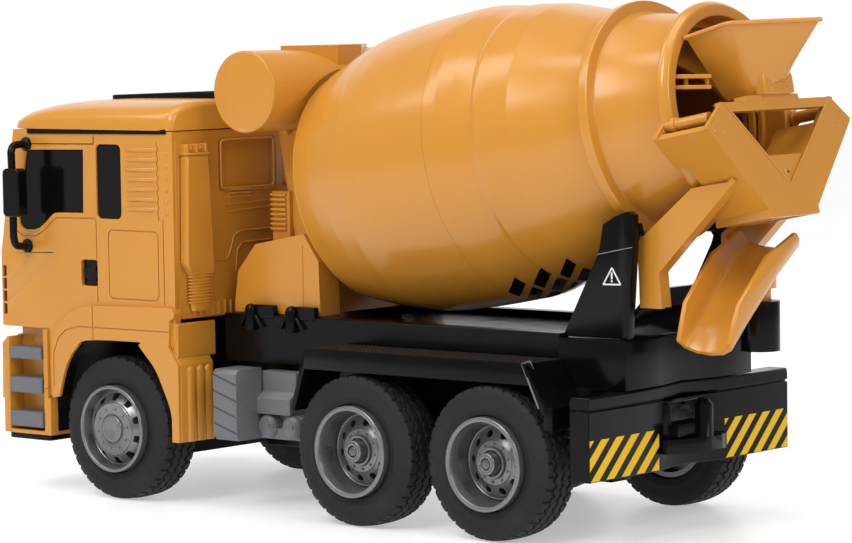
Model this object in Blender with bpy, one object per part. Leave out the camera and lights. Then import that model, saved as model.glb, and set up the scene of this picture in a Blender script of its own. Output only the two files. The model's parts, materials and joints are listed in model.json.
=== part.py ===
"""Toy cement mixer truck: separate moulded pieces in one frame, +Z up, front towards -Y, +X the truck's left.

Numbers below are millimetres in the truck's own layout; SHIFT_Y centres the finished box on the origin.
"""

import math

import bmesh
import bpy
from mathutils import Matrix, Vector

MM = 0.001
GAP = 0.3
SHIFT_Y = -2.65

# Wheels
TYRE_R = 30.0
TYRE_W = 18.8
RIM_R = 18.2
FRONT_X = 55.2
REAR_X = 57.2
AXLE_Y = {"front": -116.3, "middle": 17.1, "rear": 84.5}
KINGPIN_X = 38.0
STEER_ARM = 16.0
AXLE_R = 2.0

# Drum, on a tilted axis through (0, 0, DRUM_Z)
DRUM_Z = 135.75
DRUM_TILT = math.radians(10.66)
SEAM_S = 50.0
RING_S = 118.0
RING_R = 47.2
GEAR_TEETH = 40
PINION_TEETH = 14
GEAR_MODULE = 1.0
ROLLER_R = 4.0
ROLLER_X = 31.3

# Cab
CAB_X = 64.5
CAB_FRONT_Y = -183.5
CAB_REAR_Y = -80.5
CAB_TOP_Z = 154.0

# Chassis
RAIL_X = (34.0, 40.0)
RAIL_Z = (58.7, 78.5)
SWIVEL_Y = 165.0

# Tank
TANK_Y = -53.5
TANK_Z = 170.0
TANK_R = 16.7

COLOURS = {
    "orange": ((0.68, 0.34, 0.07), 0.32, 0.0),
    "black": ((0.012, 0.012, 0.013), 0.25, 0.0),
    "satin_black": ((0.02, 0.02, 0.022), 0.55, 0.0),
    "grey": ((0.16, 0.16, 0.17), 0.5, 0.0),
    "silver": ((0.32, 0.32, 0.34), 0.4, 0.6),
    "tyre": ((0.022, 0.023, 0.026), 0.8, 0.0),
    "steel": ((0.55, 0.55, 0.57), 0.3, 1.0),
    "pane": ((0.006, 0.007, 0.007), 0.12, 0.0),
    "lamp": ((0.75, 0.75, 0.72), 0.15, 0.0),
    "white": ((0.7, 0.7, 0.68), 0.5, 0.0),
    "green": ((0.02, 0.16, 0.06), 0.45, 0.0),
    "blue": ((0.03, 0.09, 0.3), 0.4, 0.0),
}

COS = math.cos(DRUM_TILT)
SIN = math.sin(DRUM_TILT)


def frame(first, second, third, origin=(0, 0, 0)):
    """Columns are where a drawing's u, v and w directions point in the truck."""
    columns = [Vector(first), Vector(second), Vector(third), Vector(origin)]
    rows = [[column[row] for column in columns] for row in range(3)]
    return Matrix(rows + [[0, 0, 0, 1]])


SIDE = frame((0, 1, 0), (0, 0, 1), (1, 0, 0))
BACK = frame((1, 0, 0), (0, 0, 1), (0, 1, 0))
PLAN = frame((1, 0, 0), (0, 1, 0), (0, 0, 1))
DRUM = frame((1, 0, 0), (0, -SIN, COS), (0, COS, SIN), (0, 0, DRUM_Z))
MIRROR = Matrix.Scale(-1, 4, (1, 0, 0))


def clear_scene():
    for old in list(bpy.data.objects):
        bpy.data.objects.remove(old, do_unlink=True)


def moved(shape, matrix):
    points, faces = shape
    return [matrix @ Vector(point) for point in points], faces


def mirrored(shapes):
    return [moved(shape, MIRROR) for shape in shapes]


def prism(outline, low, high, plane=PLAN):
    """A flat outline pushed from low to high along the plane's third direction."""
    count = len(outline)
    points = [(u, v, w) for w in (low, high) for u, v in outline]
    faces = [tuple(range(count)), tuple(range(count, 2 * count))]
    for index in range(count):
        after = (index + 1) % count
        faces.append((index, after, count + after, count + index))
    return moved((points, faces), plane)


def block(x, y, z):
    return prism([(x[0], y[0]), (x[1], y[0]), (x[1], y[1]), (x[0], y[1])], z[0], z[1])


def turned(profile, plane=PLAN, centre=(0, 0), segments=24, ring=False):
    """Turns (along, radius) points about the plane's third direction."""
    points = []
    rows = []
    for along, radius in profile:
        steps = 1 if radius == 0 else segments
        row = []
        for step in range(steps):
            angle = 2 * math.pi * step / segments
            u = centre[0] + radius * math.cos(angle)
            v = centre[1] + radius * math.sin(angle)
            row.append(len(points))
            points.append((u, v, along))
        rows.append(row)
    pairs = list(zip(rows, rows[1:]))
    if ring:
        pairs.append((rows[-1], rows[0]))
    faces = []
    for low, high in pairs:
        for step in range(segments):
            after = (step + 1) % segments
            corners = [low[step % len(low)], low[after % len(low)]]
            corners += [high[after % len(high)], high[step % len(high)]]
            unique = list(dict.fromkeys(corners))
            if len(unique) > 2:
                faces.append(tuple(unique))
    return moved((points, faces), plane)


def rod(radius, low, high, plane=PLAN, centre=(0, 0), segments=16):
    profile = [(low, 0), (low, radius), (high, radius), (high, 0)]
    return turned(profile, plane, centre, segments)


def loft(sections):
    """Joins equal-length loops of 3D points and caps both ends."""
    count = len(sections[0])
    points = [Vector(point) for section in sections for point in section]
    faces = [tuple(range(count)), tuple(range(len(points) - count, len(points)))]
    for row in range(len(sections) - 1):
        base = row * count
        for index in range(count):
            after = (index + 1) % count
            faces.append((base + index, base + after, base + count + after, base + count + index))
    return points, faces


def tube(path, radius, segments=8):
    """A round bar along a bent line, mitred at each bend."""
    path = [Vector(point) for point in path]
    sections = []
    side = None
    for index, point in enumerate(path):
        before = (point - path[index - 1]).normalized() if index else None
        after = (path[index + 1] - point).normalized() if index + 1 < len(path) else None
        along = ((before or after) + (after or before)).normalized()
        if side is None:
            side = along.orthogonal().normalized()
        side = (side - along * side.dot(along)).normalized()
        up = along.cross(side)
        loop = []
        for step in range(segments):
            angle = 2 * math.pi * step / segments
            loop.append(point + radius * (math.cos(angle) * side + math.sin(angle) * up))
        sections.append(loop)
    return loft(sections)


def strip(path, thickness):
    """Outline of a bent wall: the path, and the same path set over to its right."""
    path = [Vector(point) for point in path]
    outer = []
    for index, point in enumerate(path):
        before = (point - path[index - 1]).normalized() if index else None
        after = (path[index + 1] - point).normalized() if index + 1 < len(path) else None
        one = before or after
        two = after or before
        normals = [Vector((along.y, -along.x)) for along in (one, two)]
        middle = (normals[0] + normals[1]).normalized()
        outer.append(point + middle * thickness / middle.dot(normals[0]))
    return [tuple(point) for point in path] + [tuple(point) for point in reversed(outer)]


def rounded(x, y, radius, steps=3):
    """A rectangle outline with rounded corners."""
    outline = []
    corners = [(x[1], y[1], 0), (x[0], y[1], 90), (x[0], y[0], 180), (x[1], y[0], 270)]
    for corner_x, corner_y, start in corners:
        centre_x = corner_x - math.copysign(radius, corner_x - sum(x) / 2)
        centre_y = corner_y - math.copysign(radius, corner_y - sum(y) / 2)
        for step in range(steps + 1):
            angle = math.radians(start + 90 * step / steps)
            outline.append((centre_x + radius * math.cos(angle), centre_y + radius * math.sin(angle)))
    return outline


def gear_outline(teeth, module, turn=0.0):
    """Tapered teeth with backlash, one tooth centred on the given turn from +u."""
    pitch = teeth * module / 2
    outline = []
    steps = [(-0.30, -1.15), (-0.10, 0.8), (0.10, 0.8), (0.30, -1.15)]
    for tooth in range(teeth):
        for share, height in steps:
            angle = turn + 2 * math.pi * (tooth + share) / teeth
            radius = pitch + height * module
            outline.append((radius * math.cos(angle), radius * math.sin(angle)))
    return outline


def shifted(outline, by):
    return [(u + by[0], v + by[1]) for u, v in outline]


def mesh_of(name, shape, origin):
    points, faces = shape
    mesh = bmesh.new()
    verts = [mesh.verts.new((Vector(point) - Vector(origin)) * MM) for point in points]
    for face in faces:
        mesh.faces.new([verts[index] for index in face])
    bmesh.ops.recalc_face_normals(mesh, faces=mesh.faces)
    data = bpy.data.meshes.new(name)
    mesh.to_mesh(data)
    mesh.free()
    return data


def helper(name, shape, group):
    """A hidden body that a Boolean reads."""
    obj = bpy.data.objects.new(name, mesh_of(name, shape, (0, 0, 0)))
    group.objects.link(obj)
    obj.parent = ROOT
    obj.hide_render = True
    obj.display_type = "WIRE"


def boolean(obj, operation, shapes):
    if not shapes:
        return
    group = bpy.data.collections.new(f"{obj.name}_{operation.lower()}")
    bpy.context.scene.collection.children.link(group)
    for index, shape in enumerate(shapes):
        helper(f"{obj.name}_{operation.lower()}_{index}", shape, group)
    modifier = obj.modifiers.new(operation.title(), "BOOLEAN")
    modifier.operation = operation
    modifier.operand_type = "COLLECTION"
    modifier.collection = group
    modifier.solver = "EXACT"


def solid(name, colour, add, cut=(), origin=(0, 0, 0), smooth=True):
    """One moulded piece: the first shape, joined with the others, less the cuts."""
    data = mesh_of(name, add[0], origin)
    obj = bpy.data.objects.new(name, data)
    bpy.context.scene.collection.objects.link(obj)
    obj.parent = ROOT
    obj.location = Vector(origin) * MM
    data.materials.append(MATERIALS[colour])
    boolean(obj, "UNION", list(add[1:]))
    boolean(obj, "DIFFERENCE", list(cut))
    if smooth:
        data.shade_smooth()
        data.set_sharp_from_angle(angle=math.radians(32))
    return obj


def pair(name, colour, add, cut=(), origin=(0, 0, 0), smooth=True):
    """The piece as drawn on the truck's left, and its mirror on the right."""
    solid(f"{name}_left", colour, add, cut, origin, smooth)
    other = (-origin[0], origin[1], origin[2])
    solid(f"{name}_right", colour, mirrored(add), mirrored(cut), other, smooth)


def material(name, colour, roughness, metallic):
    made = bpy.data.materials.new(name)
    made.use_nodes = True
    shader = made.node_tree.nodes["Principled BSDF"]
    shader.inputs["Base Color"].default_value = (*colour, 1)
    shader.inputs["Roughness"].default_value = roughness
    shader.inputs["Metallic"].default_value = metallic
    made.diffuse_color = (*colour, 1)
    return made


def in_drum(x, s, v):
    return tuple(DRUM @ Vector((x, v, s)))


clear_scene()
ROOT = bpy.data.objects.new("truck", None)
bpy.context.scene.collection.objects.link(ROOT)
ROOT.location = (0, SHIFT_Y * MM, 0)
MATERIALS = {name: material(name, *values) for name, values in COLOURS.items()}


# ---------------------------------------------------------------- wheels and axles
def tyre(name, x, y):
    half = TYRE_W / 2
    profile = [(-half, 18.6), (-half, 27), (2.5 - half, TYRE_R), (half - 2.5, TYRE_R), (half, 27), (half, 18.6)]
    profile = [(x + along, radius) for along, radius in profile]
    shape = turned(profile, SIDE, (y, TYRE_R), 44, ring=True)
    solid(name, "tyre", [shape], origin=(x, y, TYRE_R))


def rim(name, x, y, side, face, dish):
    """The face stands proud of the tyre; dish is how deep the spoke disc sits behind it."""
    inner = x - side * 8
    back = face - side * (dish + 2)
    profile = [(inner, 15.8), (inner, RIM_R), (face, RIM_R), (face, 15.6), (face - side * dish, 14.5)]
    profile += [(face - side * dish, 6), (face - side * 1, 5), (face - side * 1, AXLE_R + 0.1)]
    profile += [(inner + side * 3, AXLE_R + 0.1), (inner + side * 3, 5), (back, 5), (back, 15.8)]
    add = [turned(profile, SIDE, (y, TYRE_R), 20, ring=True)]
    windows = []
    for step in range(10):
        angle = 2 * math.pi * (step + 0.5) / 10
        centre = (y + 11.2 * math.cos(angle), TYRE_R + 11.2 * math.sin(angle))
        low, high = sorted((inner, face))
        windows.append(rod(1.8, low, high, SIDE, centre, 6))
    solid(name, "silver", add, windows, origin=(x, y, TYRE_R))


for end, x, proud in (("front", FRONT_X, 3.1), ("middle", REAR_X, 2.6), ("rear", REAR_X, 2.6)):
    for side, word in ((1, "left"), (-1, "right")):
        tyre(f"{end}_tyre_{word}", side * x, AXLE_Y[end])
        face = side * (x + TYRE_W / 2 + proud)
        rim(f"{end}_rim_{word}", side * x, AXLE_Y[end], side, face, 3 if end == "front" else 7)

solid("middle_axle", "steel", [rod(AXLE_R, -67, 67, SIDE, (AXLE_Y["middle"], TYRE_R))],
      origin=(0, AXLE_Y["middle"], TYRE_R))
axle_gear = prism(shifted(gear_outline(20, 1.0, math.radians(135)), (AXLE_Y["rear"], TYRE_R)), -3, 3, SIDE)
solid("rear_axle", "steel", [rod(AXLE_R, -67, 67, SIDE, (AXLE_Y["rear"], TYRE_R)), axle_gear],
      origin=(0, AXLE_Y["rear"], TYRE_R))

motor_y = AXLE_Y["rear"] - 14 * math.cos(math.pi / 4)
motor_z = TYRE_R + 14 * math.sin(math.pi / 4)
pinion_turn = math.radians(-45) + math.pi / 8
motor_pinion = prism(shifted(gear_outline(8, 1.0, pinion_turn), (motor_y, motor_z)), -3, 3, SIDE)
solid("motor_pinion", "white", [motor_pinion, rod(1.2, -5.5, 10, SIDE, (motor_y, motor_z), 12)],
      origin=(0, motor_y, motor_z))
solid("drive_motor", "steel", [rod(9.8, 7.5, 31, SIDE, (motor_y, motor_z), 24),
                               rod(3, 5.9, 8, SIDE, (motor_y, motor_z), 16)],
      cut=[rod(1.5, 5, 12, SIDE, (motor_y, motor_z), 12)])

rear_y = AXLE_Y["rear"]
middle_y = AXLE_Y["middle"]
carrier = prism([(middle_y - 9, 72.7), (middle_y - 6, 25), (middle_y + 6, 25), (middle_y + 9, 72.7)], -14, 14, SIDE)
solid("underside_cover", "black",
      [block((-33, 33), (-60, 57), (24, 26.5)), carrier, block((-7, 5.6), (56, 98), (17, 72.7))],
      cut=[block((12, 24), (-50, -38), (20, 30)), block((-3.6, 3.6), (62, 96.5), (15, 52)),
           rod(AXLE_R + 0.2, -16, 16, SIDE, (middle_y, TYRE_R), 20),
           rod(AXLE_R + 0.2, -9, 9, SIDE, (rear_y, TYRE_R), 20),
           rod(1.5, -9, 9, SIDE, (motor_y, motor_z), 14)])


# ---------------------------------------------------------------- steering
def knuckle():
    pin_y = AXLE_Y["front"]
    body = block((34.5, 41.5), (pin_y - 4.5, pin_y + 4.5), (22.4, 37.6))
    kingpin = rod(2.2, 17, 43, PLAN, (KINGPIN_X, pin_y), 16)
    stub = rod(AXLE_R, 41, 66.9, SIDE, (pin_y, TYRE_R), 16)
    arm = block((KINGPIN_X - 2.5, KINGPIN_X + 2.5), (pin_y + 4, pin_y + STEER_ARM + 2.5), (24, 28))
    pin = rod(1.3, 27, 33.5, PLAN, (KINGPIN_X, pin_y + STEER_ARM), 12)
    return [body, kingpin, stub, arm, pin]


pair("steering_knuckle", "satin_black", knuckle(), origin=(KINGPIN_X, AXLE_Y["front"], TYRE_R))

front_y = AXLE_Y["front"]
beam = [block((-28, 28), (front_y - 6, front_y + 6), (16, 61.7))]
for side in (1, -1):
    for low, high in ((16, 22), (38, 44)):
        reach = sorted((side * 20, side * 43))
        beam.append(block(reach, (front_y - 5, front_y + 5), (low, high)))
kingpin_holes = [rod(2.5, 14, 46, PLAN, (side * KINGPIN_X, front_y), 16) for side in (1, -1)]
solid("front_axle_beam", "satin_black", beam, kingpin_holes)

link_y = front_y + STEER_ARM
slots = []
for side in (1, -1):
    reach = (side * KINGPIN_X - 1.6, side * KINGPIN_X + 1.6)
    slots.append(block(reach, (link_y - 3.3, link_y + 2.1), (26, 36)))
tie = prism(rounded((-42, 42), (link_y - 5, link_y + 5), 3), 29.0, 32.5)
solid("tie_rod", "satin_black", [tie], slots, origin=(0, link_y, TYRE_R))
servo_y = link_y + 14
solid("steering_servo", "blue", [block((-10, 10), (servo_y - 4, servo_y + 16), (33, 61.7))])

# ---------------------------------------------------------------- frame
rail = prism([(34, RAIL_Z[0]), (40, RAIL_Z[0]), (40, RAIL_Z[1]), (34, RAIL_Z[1]), (34, RAIL_Z[1] - 2),
              (37.8, RAIL_Z[1] - 2), (37.8, RAIL_Z[0] + 2), (34, RAIL_Z[0] + 2)], -76, 99.7, BACK)


def clip(y):
    """A round-topped post and bar that stand on the rail."""
    post = prism([(y - 3, 71), (y + 3, 71), (y + 3, 80.5), (y + 1.5, 82.8), (y - 1.5, 82.8), (y - 3, 80.5)],
                 39, 42.3, SIDE)
    feet = prism([(y - 7, 73), (y + 9, 73), (y + 9, 74), (y + 2, 77.5), (y - 2, 77.5), (y - 7, 74)], 39, 41.5, SIDE)
    return [post, feet, block((37, 40), (y, y + 12.2), (77, 82.6))]


side_panel = block((31, 33.2), (-60, 57), (26.8, 61))
flange = block((31, 35), (-60, 57), (RAIL_Z[0], 61))
pair("frame_rail", "black", [rail, side_panel, flange] + clip(-60.5) + clip(-37.5),
     [block((25, 33.6), (middle_y - 2.4, middle_y + 2.4), (20, 32.4))])
block_outline = [(-41, 100), (41, 100), (41, 132), (19, 132), (0, 127.3), (-19, 132), (-41, 132)]
solid("chassis_deck", "black",
      [block((-33.7, 33.7), (-76, 101), (73, 75.5)), prism(block_outline, 58.2, 77),
       block((-28, 28), (-173, -75), (62, 75.5)), block((-61.2, 61.2), (-155, -84), (75, 77.5)),
       block((28.4, 31), (-155, -84), (47, 76)), block((-31, -28.4), (-155, -84), (47, 76))])
solid("power_switch", "satin_black", [block((14.5, 18.5), (-49.6, -43.6), (22.2, 28.5)),
                                      block((12.6, 23), (-53, -40.4), (26.8, 28.5))],
      origin=(16.5, -44, 25))
solid("battery_pack", "blue", [prism(rounded((-27, 27), (-34, 4), 4), 29, 47)])
solid("circuit_board", "green", [block((-28, 28), (-34, 4), (60, 61.6)), block((-12, 6), (-25, -8), (61.2, 64))])

bumper_path = [(65, 123.6), (65, 132.7), (19, 132.7), (0, 128), (-19, 132.7), (-65, 132.7), (-65, 123.6)]
bumper_web = block((-30, 30), (112, 129.7), (50, 57.9))
solid("rear_bumper", "black", [prism(strip(bumper_path, -3.2), 26, 57.5), prism(bumper_path, 55.8, 57.9), bumper_web],
      cut=[block((-11, 18), (118, 140), (38, 51))])
hitch_outline = [(-16.5, 133.1), (20.3, 133.1), (19.8, 135.5), (12, 139.2), (3, 141.4), (-7, 141.6), (-13.5, 139.4),
                 (-16.5, 136.2)]
tow_pin = turned([(33, 0), (33, 3.6), (50, 3.6), (51.8, 2), (52.1, 0)], PLAN, (-0.6, 138), 16)
solid("tow_hitch", "black", [prism(hitch_outline, 32.2, 37.6), block((-8, 15), (127, 137), (38.4, 43)),
                             tow_pin, rod(3, 38.4, 50.6, PLAN, (14.9, 130), 16)])

# ---------------------------------------------------------------- mudguards
guard = prism(strip([(-17.5, 44.5), (-9.5, 68.8), (102, 68.8), (112.5, 51)], 2.2), 41.4, 64.6, SIDE)
skirt = prism([(-10, 61), (104.5, 61), (102.3, 69), (-8.7, 69)], 62.8, 65, SIDE)
pair("mudguard", "black", [guard, skirt, block((48, 65), (111.4, 115.5), (44.5, 53))])

# ---------------------------------------------------------------- side tank group
tank_side = [(61.2, 30.4), (61.2, 55.8), (59.6, 57.6), (46, 57.6), (46, 28.6), (59.6, 28.6)]
grooves = []
for step in range(4):
    z = 30.5 + 6.6 * step
    grooves.append(prism([(-64, z + 5), (-48, z), (-48, z + 0.8), (-64, z + 5.8)], 60.6, 64, SIDE))
battery = [(33.8, 33), (44, 33), (44, 39.1), (49, 39.1), (49, 45.3), (45, 48.2), (45, 56), (33.8, 56)]
tank_group = [prism(tank_side, -63.2, -50.3, BACK), prism(battery, -52, -32.2, BACK),
              block((33.8, 47), (-54, -28), (28.8, 33.4))]
for y in (-45.4, -32.4):
    capsule = [(38, 0), (38, 3.6), (39, 4.8), (48, 4.8), (49.6, 3.6), (50.2, 0)]
    tank_group.append(turned(capsule, SIDE, (y, 34.0), 16))
pair("side_tanks", "grey", tank_group, grooves)

# ---------------------------------------------------------------- cab
ARCH = [(-82.2, 36), (-83.4, 41), (-87.1, 48.6), (-91.4, 56.2), (-97.1, 62), (-100.7, 65.6), (-101.5, 67),
        (-131, 66.2), (-137.5, 62.8), (-142.4, 57.2), (-145.5, 50.7), (-148.4, 41.5)]
side_outline = [(-155.2, 41.5), (-155.2, 70), (-183.5, 70), (-183.5, 101), (-174.5, CAB_TOP_Z), (-80.5, CAB_TOP_Z),
                (-80.5, 69), (-82.2, 66)] + ARCH
fender = ARCH + [(-152.4, 40.8), (-152.6, 65.2), (-148.7, 71.8), (-143.7, 76.2), (-135.2, 79.6), (-127.4, 81),
                 (-82.5, 81.9), (-79.8, 80.2), (-79.8, 78), (-82.6, 76.5)]
TAIL_Y = -78.0
tail_side = [(-84, 66), (-83.2, 66), (TAIL_Y, 58.4), (TAIL_Y, 26.6), (-82.2, 26.6), (-82.2, 36), (-83.4, 41), (-84, 44)]
tail_rear = [(-79.5, 26.6), (TAIL_Y, 26.6), (TAIL_Y, 58.4), (-83.2, 66), (-84.7, 66), (-79.5, 58)]
window = [(-174, 117), (-170, 112), (-161, 112), (-152, 119), (-134, 119), (-134, 146), (-167, 145.5), (-170, 143)]
rear_window = rounded((-125.5, -110), (117.5, 148.5), 2)
ribs = []
for step in range(7):
    z = 122 + 4 * step
    ribs.append(block((64.2, 65), (-104, -91), (z - 1.1, z + 1.1)))
for x in (58.4, 52.8, 47.8):
    ribs.append(block((x - 2, x + 2), (TAIL_Y - 0.8, TAIL_Y + 0.8), (26.6, 57)))
side_add = [prism(side_outline, 61.5, CAB_X, SIDE), prism(tail_side, 57.6, CAB_X, SIDE),
            prism(tail_rear, 45.3, 58, SIDE),
            block((41.5, 61.8), (-82.2, -79.6), (61, 74.6)),
            prism(fender, 61.7, 66, SIDE)] + ribs
side_cut = [prism(window, 55, 70, SIDE), prism(rear_window, 55, 70, SIDE), block((55, 70), (-135, -125), (89, 100))]
pair("cab_side", "orange", side_add, side_cut)


def inset(outline, by):
    """The outline pulled in evenly, for a pane that sits in its opening."""
    signed = sum(a[0] * b[1] - b[0] * a[1] for a, b in zip(outline, outline[1:] + outline[:1]))
    loop = outline if signed > 0 else list(reversed(outline))
    made = []
    for index, point in enumerate(loop):
        before = Vector(loop[index - 1])
        here = Vector(point)
        after = Vector(loop[(index + 1) % len(loop)])
        one = (here - before).normalized()
        two = (after - here).normalized()
        normals = [Vector((-along.y, along.x)) for along in (one, two)]
        middle = (normals[0] + normals[1]).normalized()
        made.append(tuple(here + middle * by / max(middle.dot(normals[0]), 0.3)))
    return made


pane_frame = [(-175, 110), (-162, 110), (-137, 87), (-123, 87), (-108, 116), (-108, 150), (-168, 149.5), (-172, 144)]
side_glass = [prism(pane_frame, 59.4, 61.2, SIDE), prism(inset(window, GAP), 60, 63.4, SIDE),
              prism(inset(rear_window, GAP), 60, 63.4, SIDE),
              block((60, 62.6), (-134.7, -125.3), (89.3, 99.7)), block((62, 63.9), (-132, -126), (92, 97))]
pair("side_window", "pane", side_glass)

front_path = [(61.2, -183.4), (45, -186.2), (0, -187.6), (-45, -186.2), (-61.2, -183.4)]


def front_section(z, back):
    """The cab's front in plan at one height."""
    shell = strip([(x, y + back) for x, y in front_path], 3)
    return [(x, y, z) for x, y in shell]


lower_front = loft([front_section(70.2, 0.5), front_section(101, 0)])
upper_front = loft([front_section(100.5, 0), front_section(CAB_TOP_Z, 9)])
screen = []
for grow, z, back in ((0, 108, 1.3), (0, 149, 8.2)):
    screen.append([(57, -200 + back, z), (57, -170 + back, z), (-57, -170 + back, z), (-57, -200 + back, z)])
slats = [block((-42, 42), (-195, -186 + 0.3), (76 + 5 * step, 78 + 5 * step)) for step in range(4)]
solid("cab_front", "orange", [lower_front, upper_front], cut=[loft(screen)] + slats)


def glazing(z, back, inner):
    shell = strip([(x * 56.6 / 61.2, y + back) for x, y in front_path], inner)
    return [(x, y, z) for x, y in shell]


solid("windscreen", "pane", [loft([glazing(108.4, 2.6, 1.6), glazing(148.6, 9.6, 1.6)])])
roof_sections = []
for y, half, low, high in ((-178, 61, 154.4, 156), (-174, 64, 154.4, 160), (-160, 65, 154.4, 164),
                           (-120, 65, 154.4, 166), (-84, 65, 154.4, 166), (-80.5, 64, 154.4, 164)):
    crown = [(half, y, low), (half, y, high - 6 if high > 161 else high - 1), (half - 6, y, high - 1.5)]
    crown += [(half - 24, y, high), (24 - half, y, high), (6 - half, y, high - 1.5)]
    crown += [(-half, y, high - 6 if high > 161 else high - 1), (-half, y, low)]
    roof_sections.append(crown)
hollow = [(60, 150), (60, 157), (50, 160.2), (-50, 160.2), (-60, 157), (-60, 150)]
hatch = prism(rounded((-34, 34), (-149, -92), 5), 165, 167.6)
solid("cab_roof", "orange", [loft(roof_sections), hatch], cut=[prism(hollow, -163, -83, BACK)])

rear_wall = [block((-61.2, 61.2), (-83.5, -80.8), (76.8, CAB_TOP_Z))]
snorkel = loft([[(42, -81, 94.8), (53, -81, 94.8), (53, -78, 94.8), (42, -78, 94.8)],
                [(43, -81, 102), (58.6, -81, 102), (58.6, -76.5, 102), (43, -76.5, 102)],
                [(47, -81, 144.6), (60, -81, 144.6), (60, -76.5, 144.6), (47, -76.5, 144.6)]])
rear_wall += [snorkel, block((47.4, 59.6), (-81.5, -77), (144, 148))]
for step in range(5):
    z = 84.4 + 2.4 * step
    rear_wall.append(block((42.4, 53), (-81, -77.4), (z - 0.8, z + 0.8)))
rear_wall.append(block((43.2, 52.2), (-81.5, -78.2), (80, 96)))
wall_cut = [prism(rounded((-36.6, -2.5), (128, 150), 2), -82, -79, BACK),
            prism(rounded((2.5, 36.6), (128, 150), 2), -82, -79, BACK)]
solid("cab_rear_wall", "orange", rear_wall, wall_cut)
steps_add = [block((54, 57), (-178.5, -158.4), (26.5, 63))]
for low, high in ((56.5, 61.5), (42, 48.5), (27.5, 34)):
    steps_add.append(block((56, 66.4), (-178.2, -158.6), (low, high)))
pair("cab_steps", "grey", steps_add)
bumper_front = [(56, -183.5), (45, -186.8), (0, -188.2), (-45, -186.8), (-56, -183.5)]
bumper_add = [prism(strip(bumper_front, 6), 24.4, 65.6), block((-26, 26), (-184, -173.5), (62, 65.6))]
bumper_cut = [block((-22, 22), (-200, -183), (30, 40))]
for side in (1, -1):
    reach = sorted((side * 50, side * 65.6))
    bumper_add.append(block(reach, (-182.6, -154.2), (24.4, 40.4)))
    bumper_add.append(prism([(-183.5, 39), (-155.6, 39), (-155.6, 69.7), (-174, 66.7), (-180, 65.4), (-183, 62.6)],
                            *reach, SIDE))
    reach = sorted((side * 52, side * 70))
    bumper_cut.append(block(reach, (-179, -158), (26, 75)))
    bumper_cut.append(block(sorted((side * 28, side * 46)), (-200, -185), (42, 56)))
solid("front_bumper", "orange", bumper_add, bumper_cut)

mirror_arm = [(64, -166.5, 147.8), (70, -166.5, 147.8), (73, -166, 146.6), (74.2, -165.6, 143.5), (74.2, -165.4, 112),
              (73, -165.6, 107.5), (70, -166.5, 105), (64, -167, 104.6)]
housing = [prism(rounded((-168.5, -158.5), (117.6, 138), 2), 71.5, 77.5, SIDE), tube(mirror_arm, 1.7)]
housing += [rod(3, 64, 67, SIDE, (-166.5, 147.8), 12), rod(3, 64, 67, SIDE, (-167, 104.6), 12)]
pair("mirror", "black", housing, [block((60, 64.8), (-170, -150), (95, 160))])

# ---------------------------------------------------------------- tank, pedestal and drum drive
filler = prism([(27, -54), (7.4, -40.1), (-7.4, -40.1), (-27, -54)], 172, 188.3)
drum_clearance = turned([(-32, 0), (-32, 49.4), (-28, 49.8), (-8.5, 56), (4, 59), (20, 60.5), (20, 0)],
                        DRUM, (0, 0), 48)
tank_profile = [(-50, 0), (-50, TANK_R - 1.2), (-49, TANK_R), (49, TANK_R), (50, TANK_R - 1.2), (50, 0)]
solid("water_tank", "orange", [turned(tank_profile, SIDE, (TANK_Y, TANK_Z), 40), filler],
      cut=[drum_clearance])

pedestal = [(-73.6, 78.8), (-73.6, 83.4), (-71.5, 95.9), (-61.7, 107), (-34.9, 112), (-27, 101), (-26.3, 78.8)]
tower = [prism([(-25.5, -57), (25.5, -57), (25.5, 34), (-25.5, 34)], -53, -42, DRUM)]
tower += [prism(pedestal, 24, 36, SIDE), moved(prism(pedestal, 24, 36, SIDE), MIRROR)]
for side in (1, -1):
    tower.append(block(sorted((side * 20, side * 27.5)), (-59.5, -50), (105, 128.5)))
tower_cut = [turned([(-60, 0), (-60, 5.0), (-35, 5.0), (-35, 0)], DRUM, (0, 0), 20),
             turned([(-60, 0), (-60, 1.5), (-35, 1.5), (-35, 0)], DRUM, (0, -27), 14),
             rod(TANK_R + GAP, -60, 60, SIDE, (TANK_Y, TANK_Z), 40), block((-60, 60), (-90, 0), (60, 78.8)),
             prism([(17.5, -13), (21.2, -13), (21.2, 5), (17.5, 5)], -60, -35, DRUM),
             prism([(-17.5, -13), (-21.2, -13), (-21.2, 5), (-17.5, 5)], -60, -35, DRUM)]
solid("drum_tower", "orange", tower, tower_cut)

gear = prism(gear_outline(GEAR_TEETH, GEAR_MODULE, math.radians(-90)), -37, -31, DRUM)
journal = turned([(-52.5, 0), (-52.5, 4.7), (-36, 4.7), (-36, 0)], DRUM, (0, 0), 20)
solid("drum_gear", "white", [gear, journal], origin=in_drum(0, -34, 0))
pinion = prism(shifted(gear_outline(PINION_TEETH, GEAR_MODULE, math.radians(90) + math.pi / PINION_TEETH), (0, -27)),
               -37, -31, DRUM)
shaft = turned([(-57, 0), (-57, 1.2), (-34, 1.2), (-34, 0)], DRUM, (0, -27), 12)
solid("drum_pinion", "white", [pinion, shaft], origin=in_drum(0, -34, -27))
solid("drum_motor", "steel", [turned([(-78, 0), (-78, 9.5), (-53.4, 9.5), (-53.4, 0)], DRUM, (0, -27), 24)],
      cut=[turned([(-60, 0), (-60, 1.5), (-50, 1.5), (-50, 0)], DRUM, (0, -27), 14)])

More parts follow.
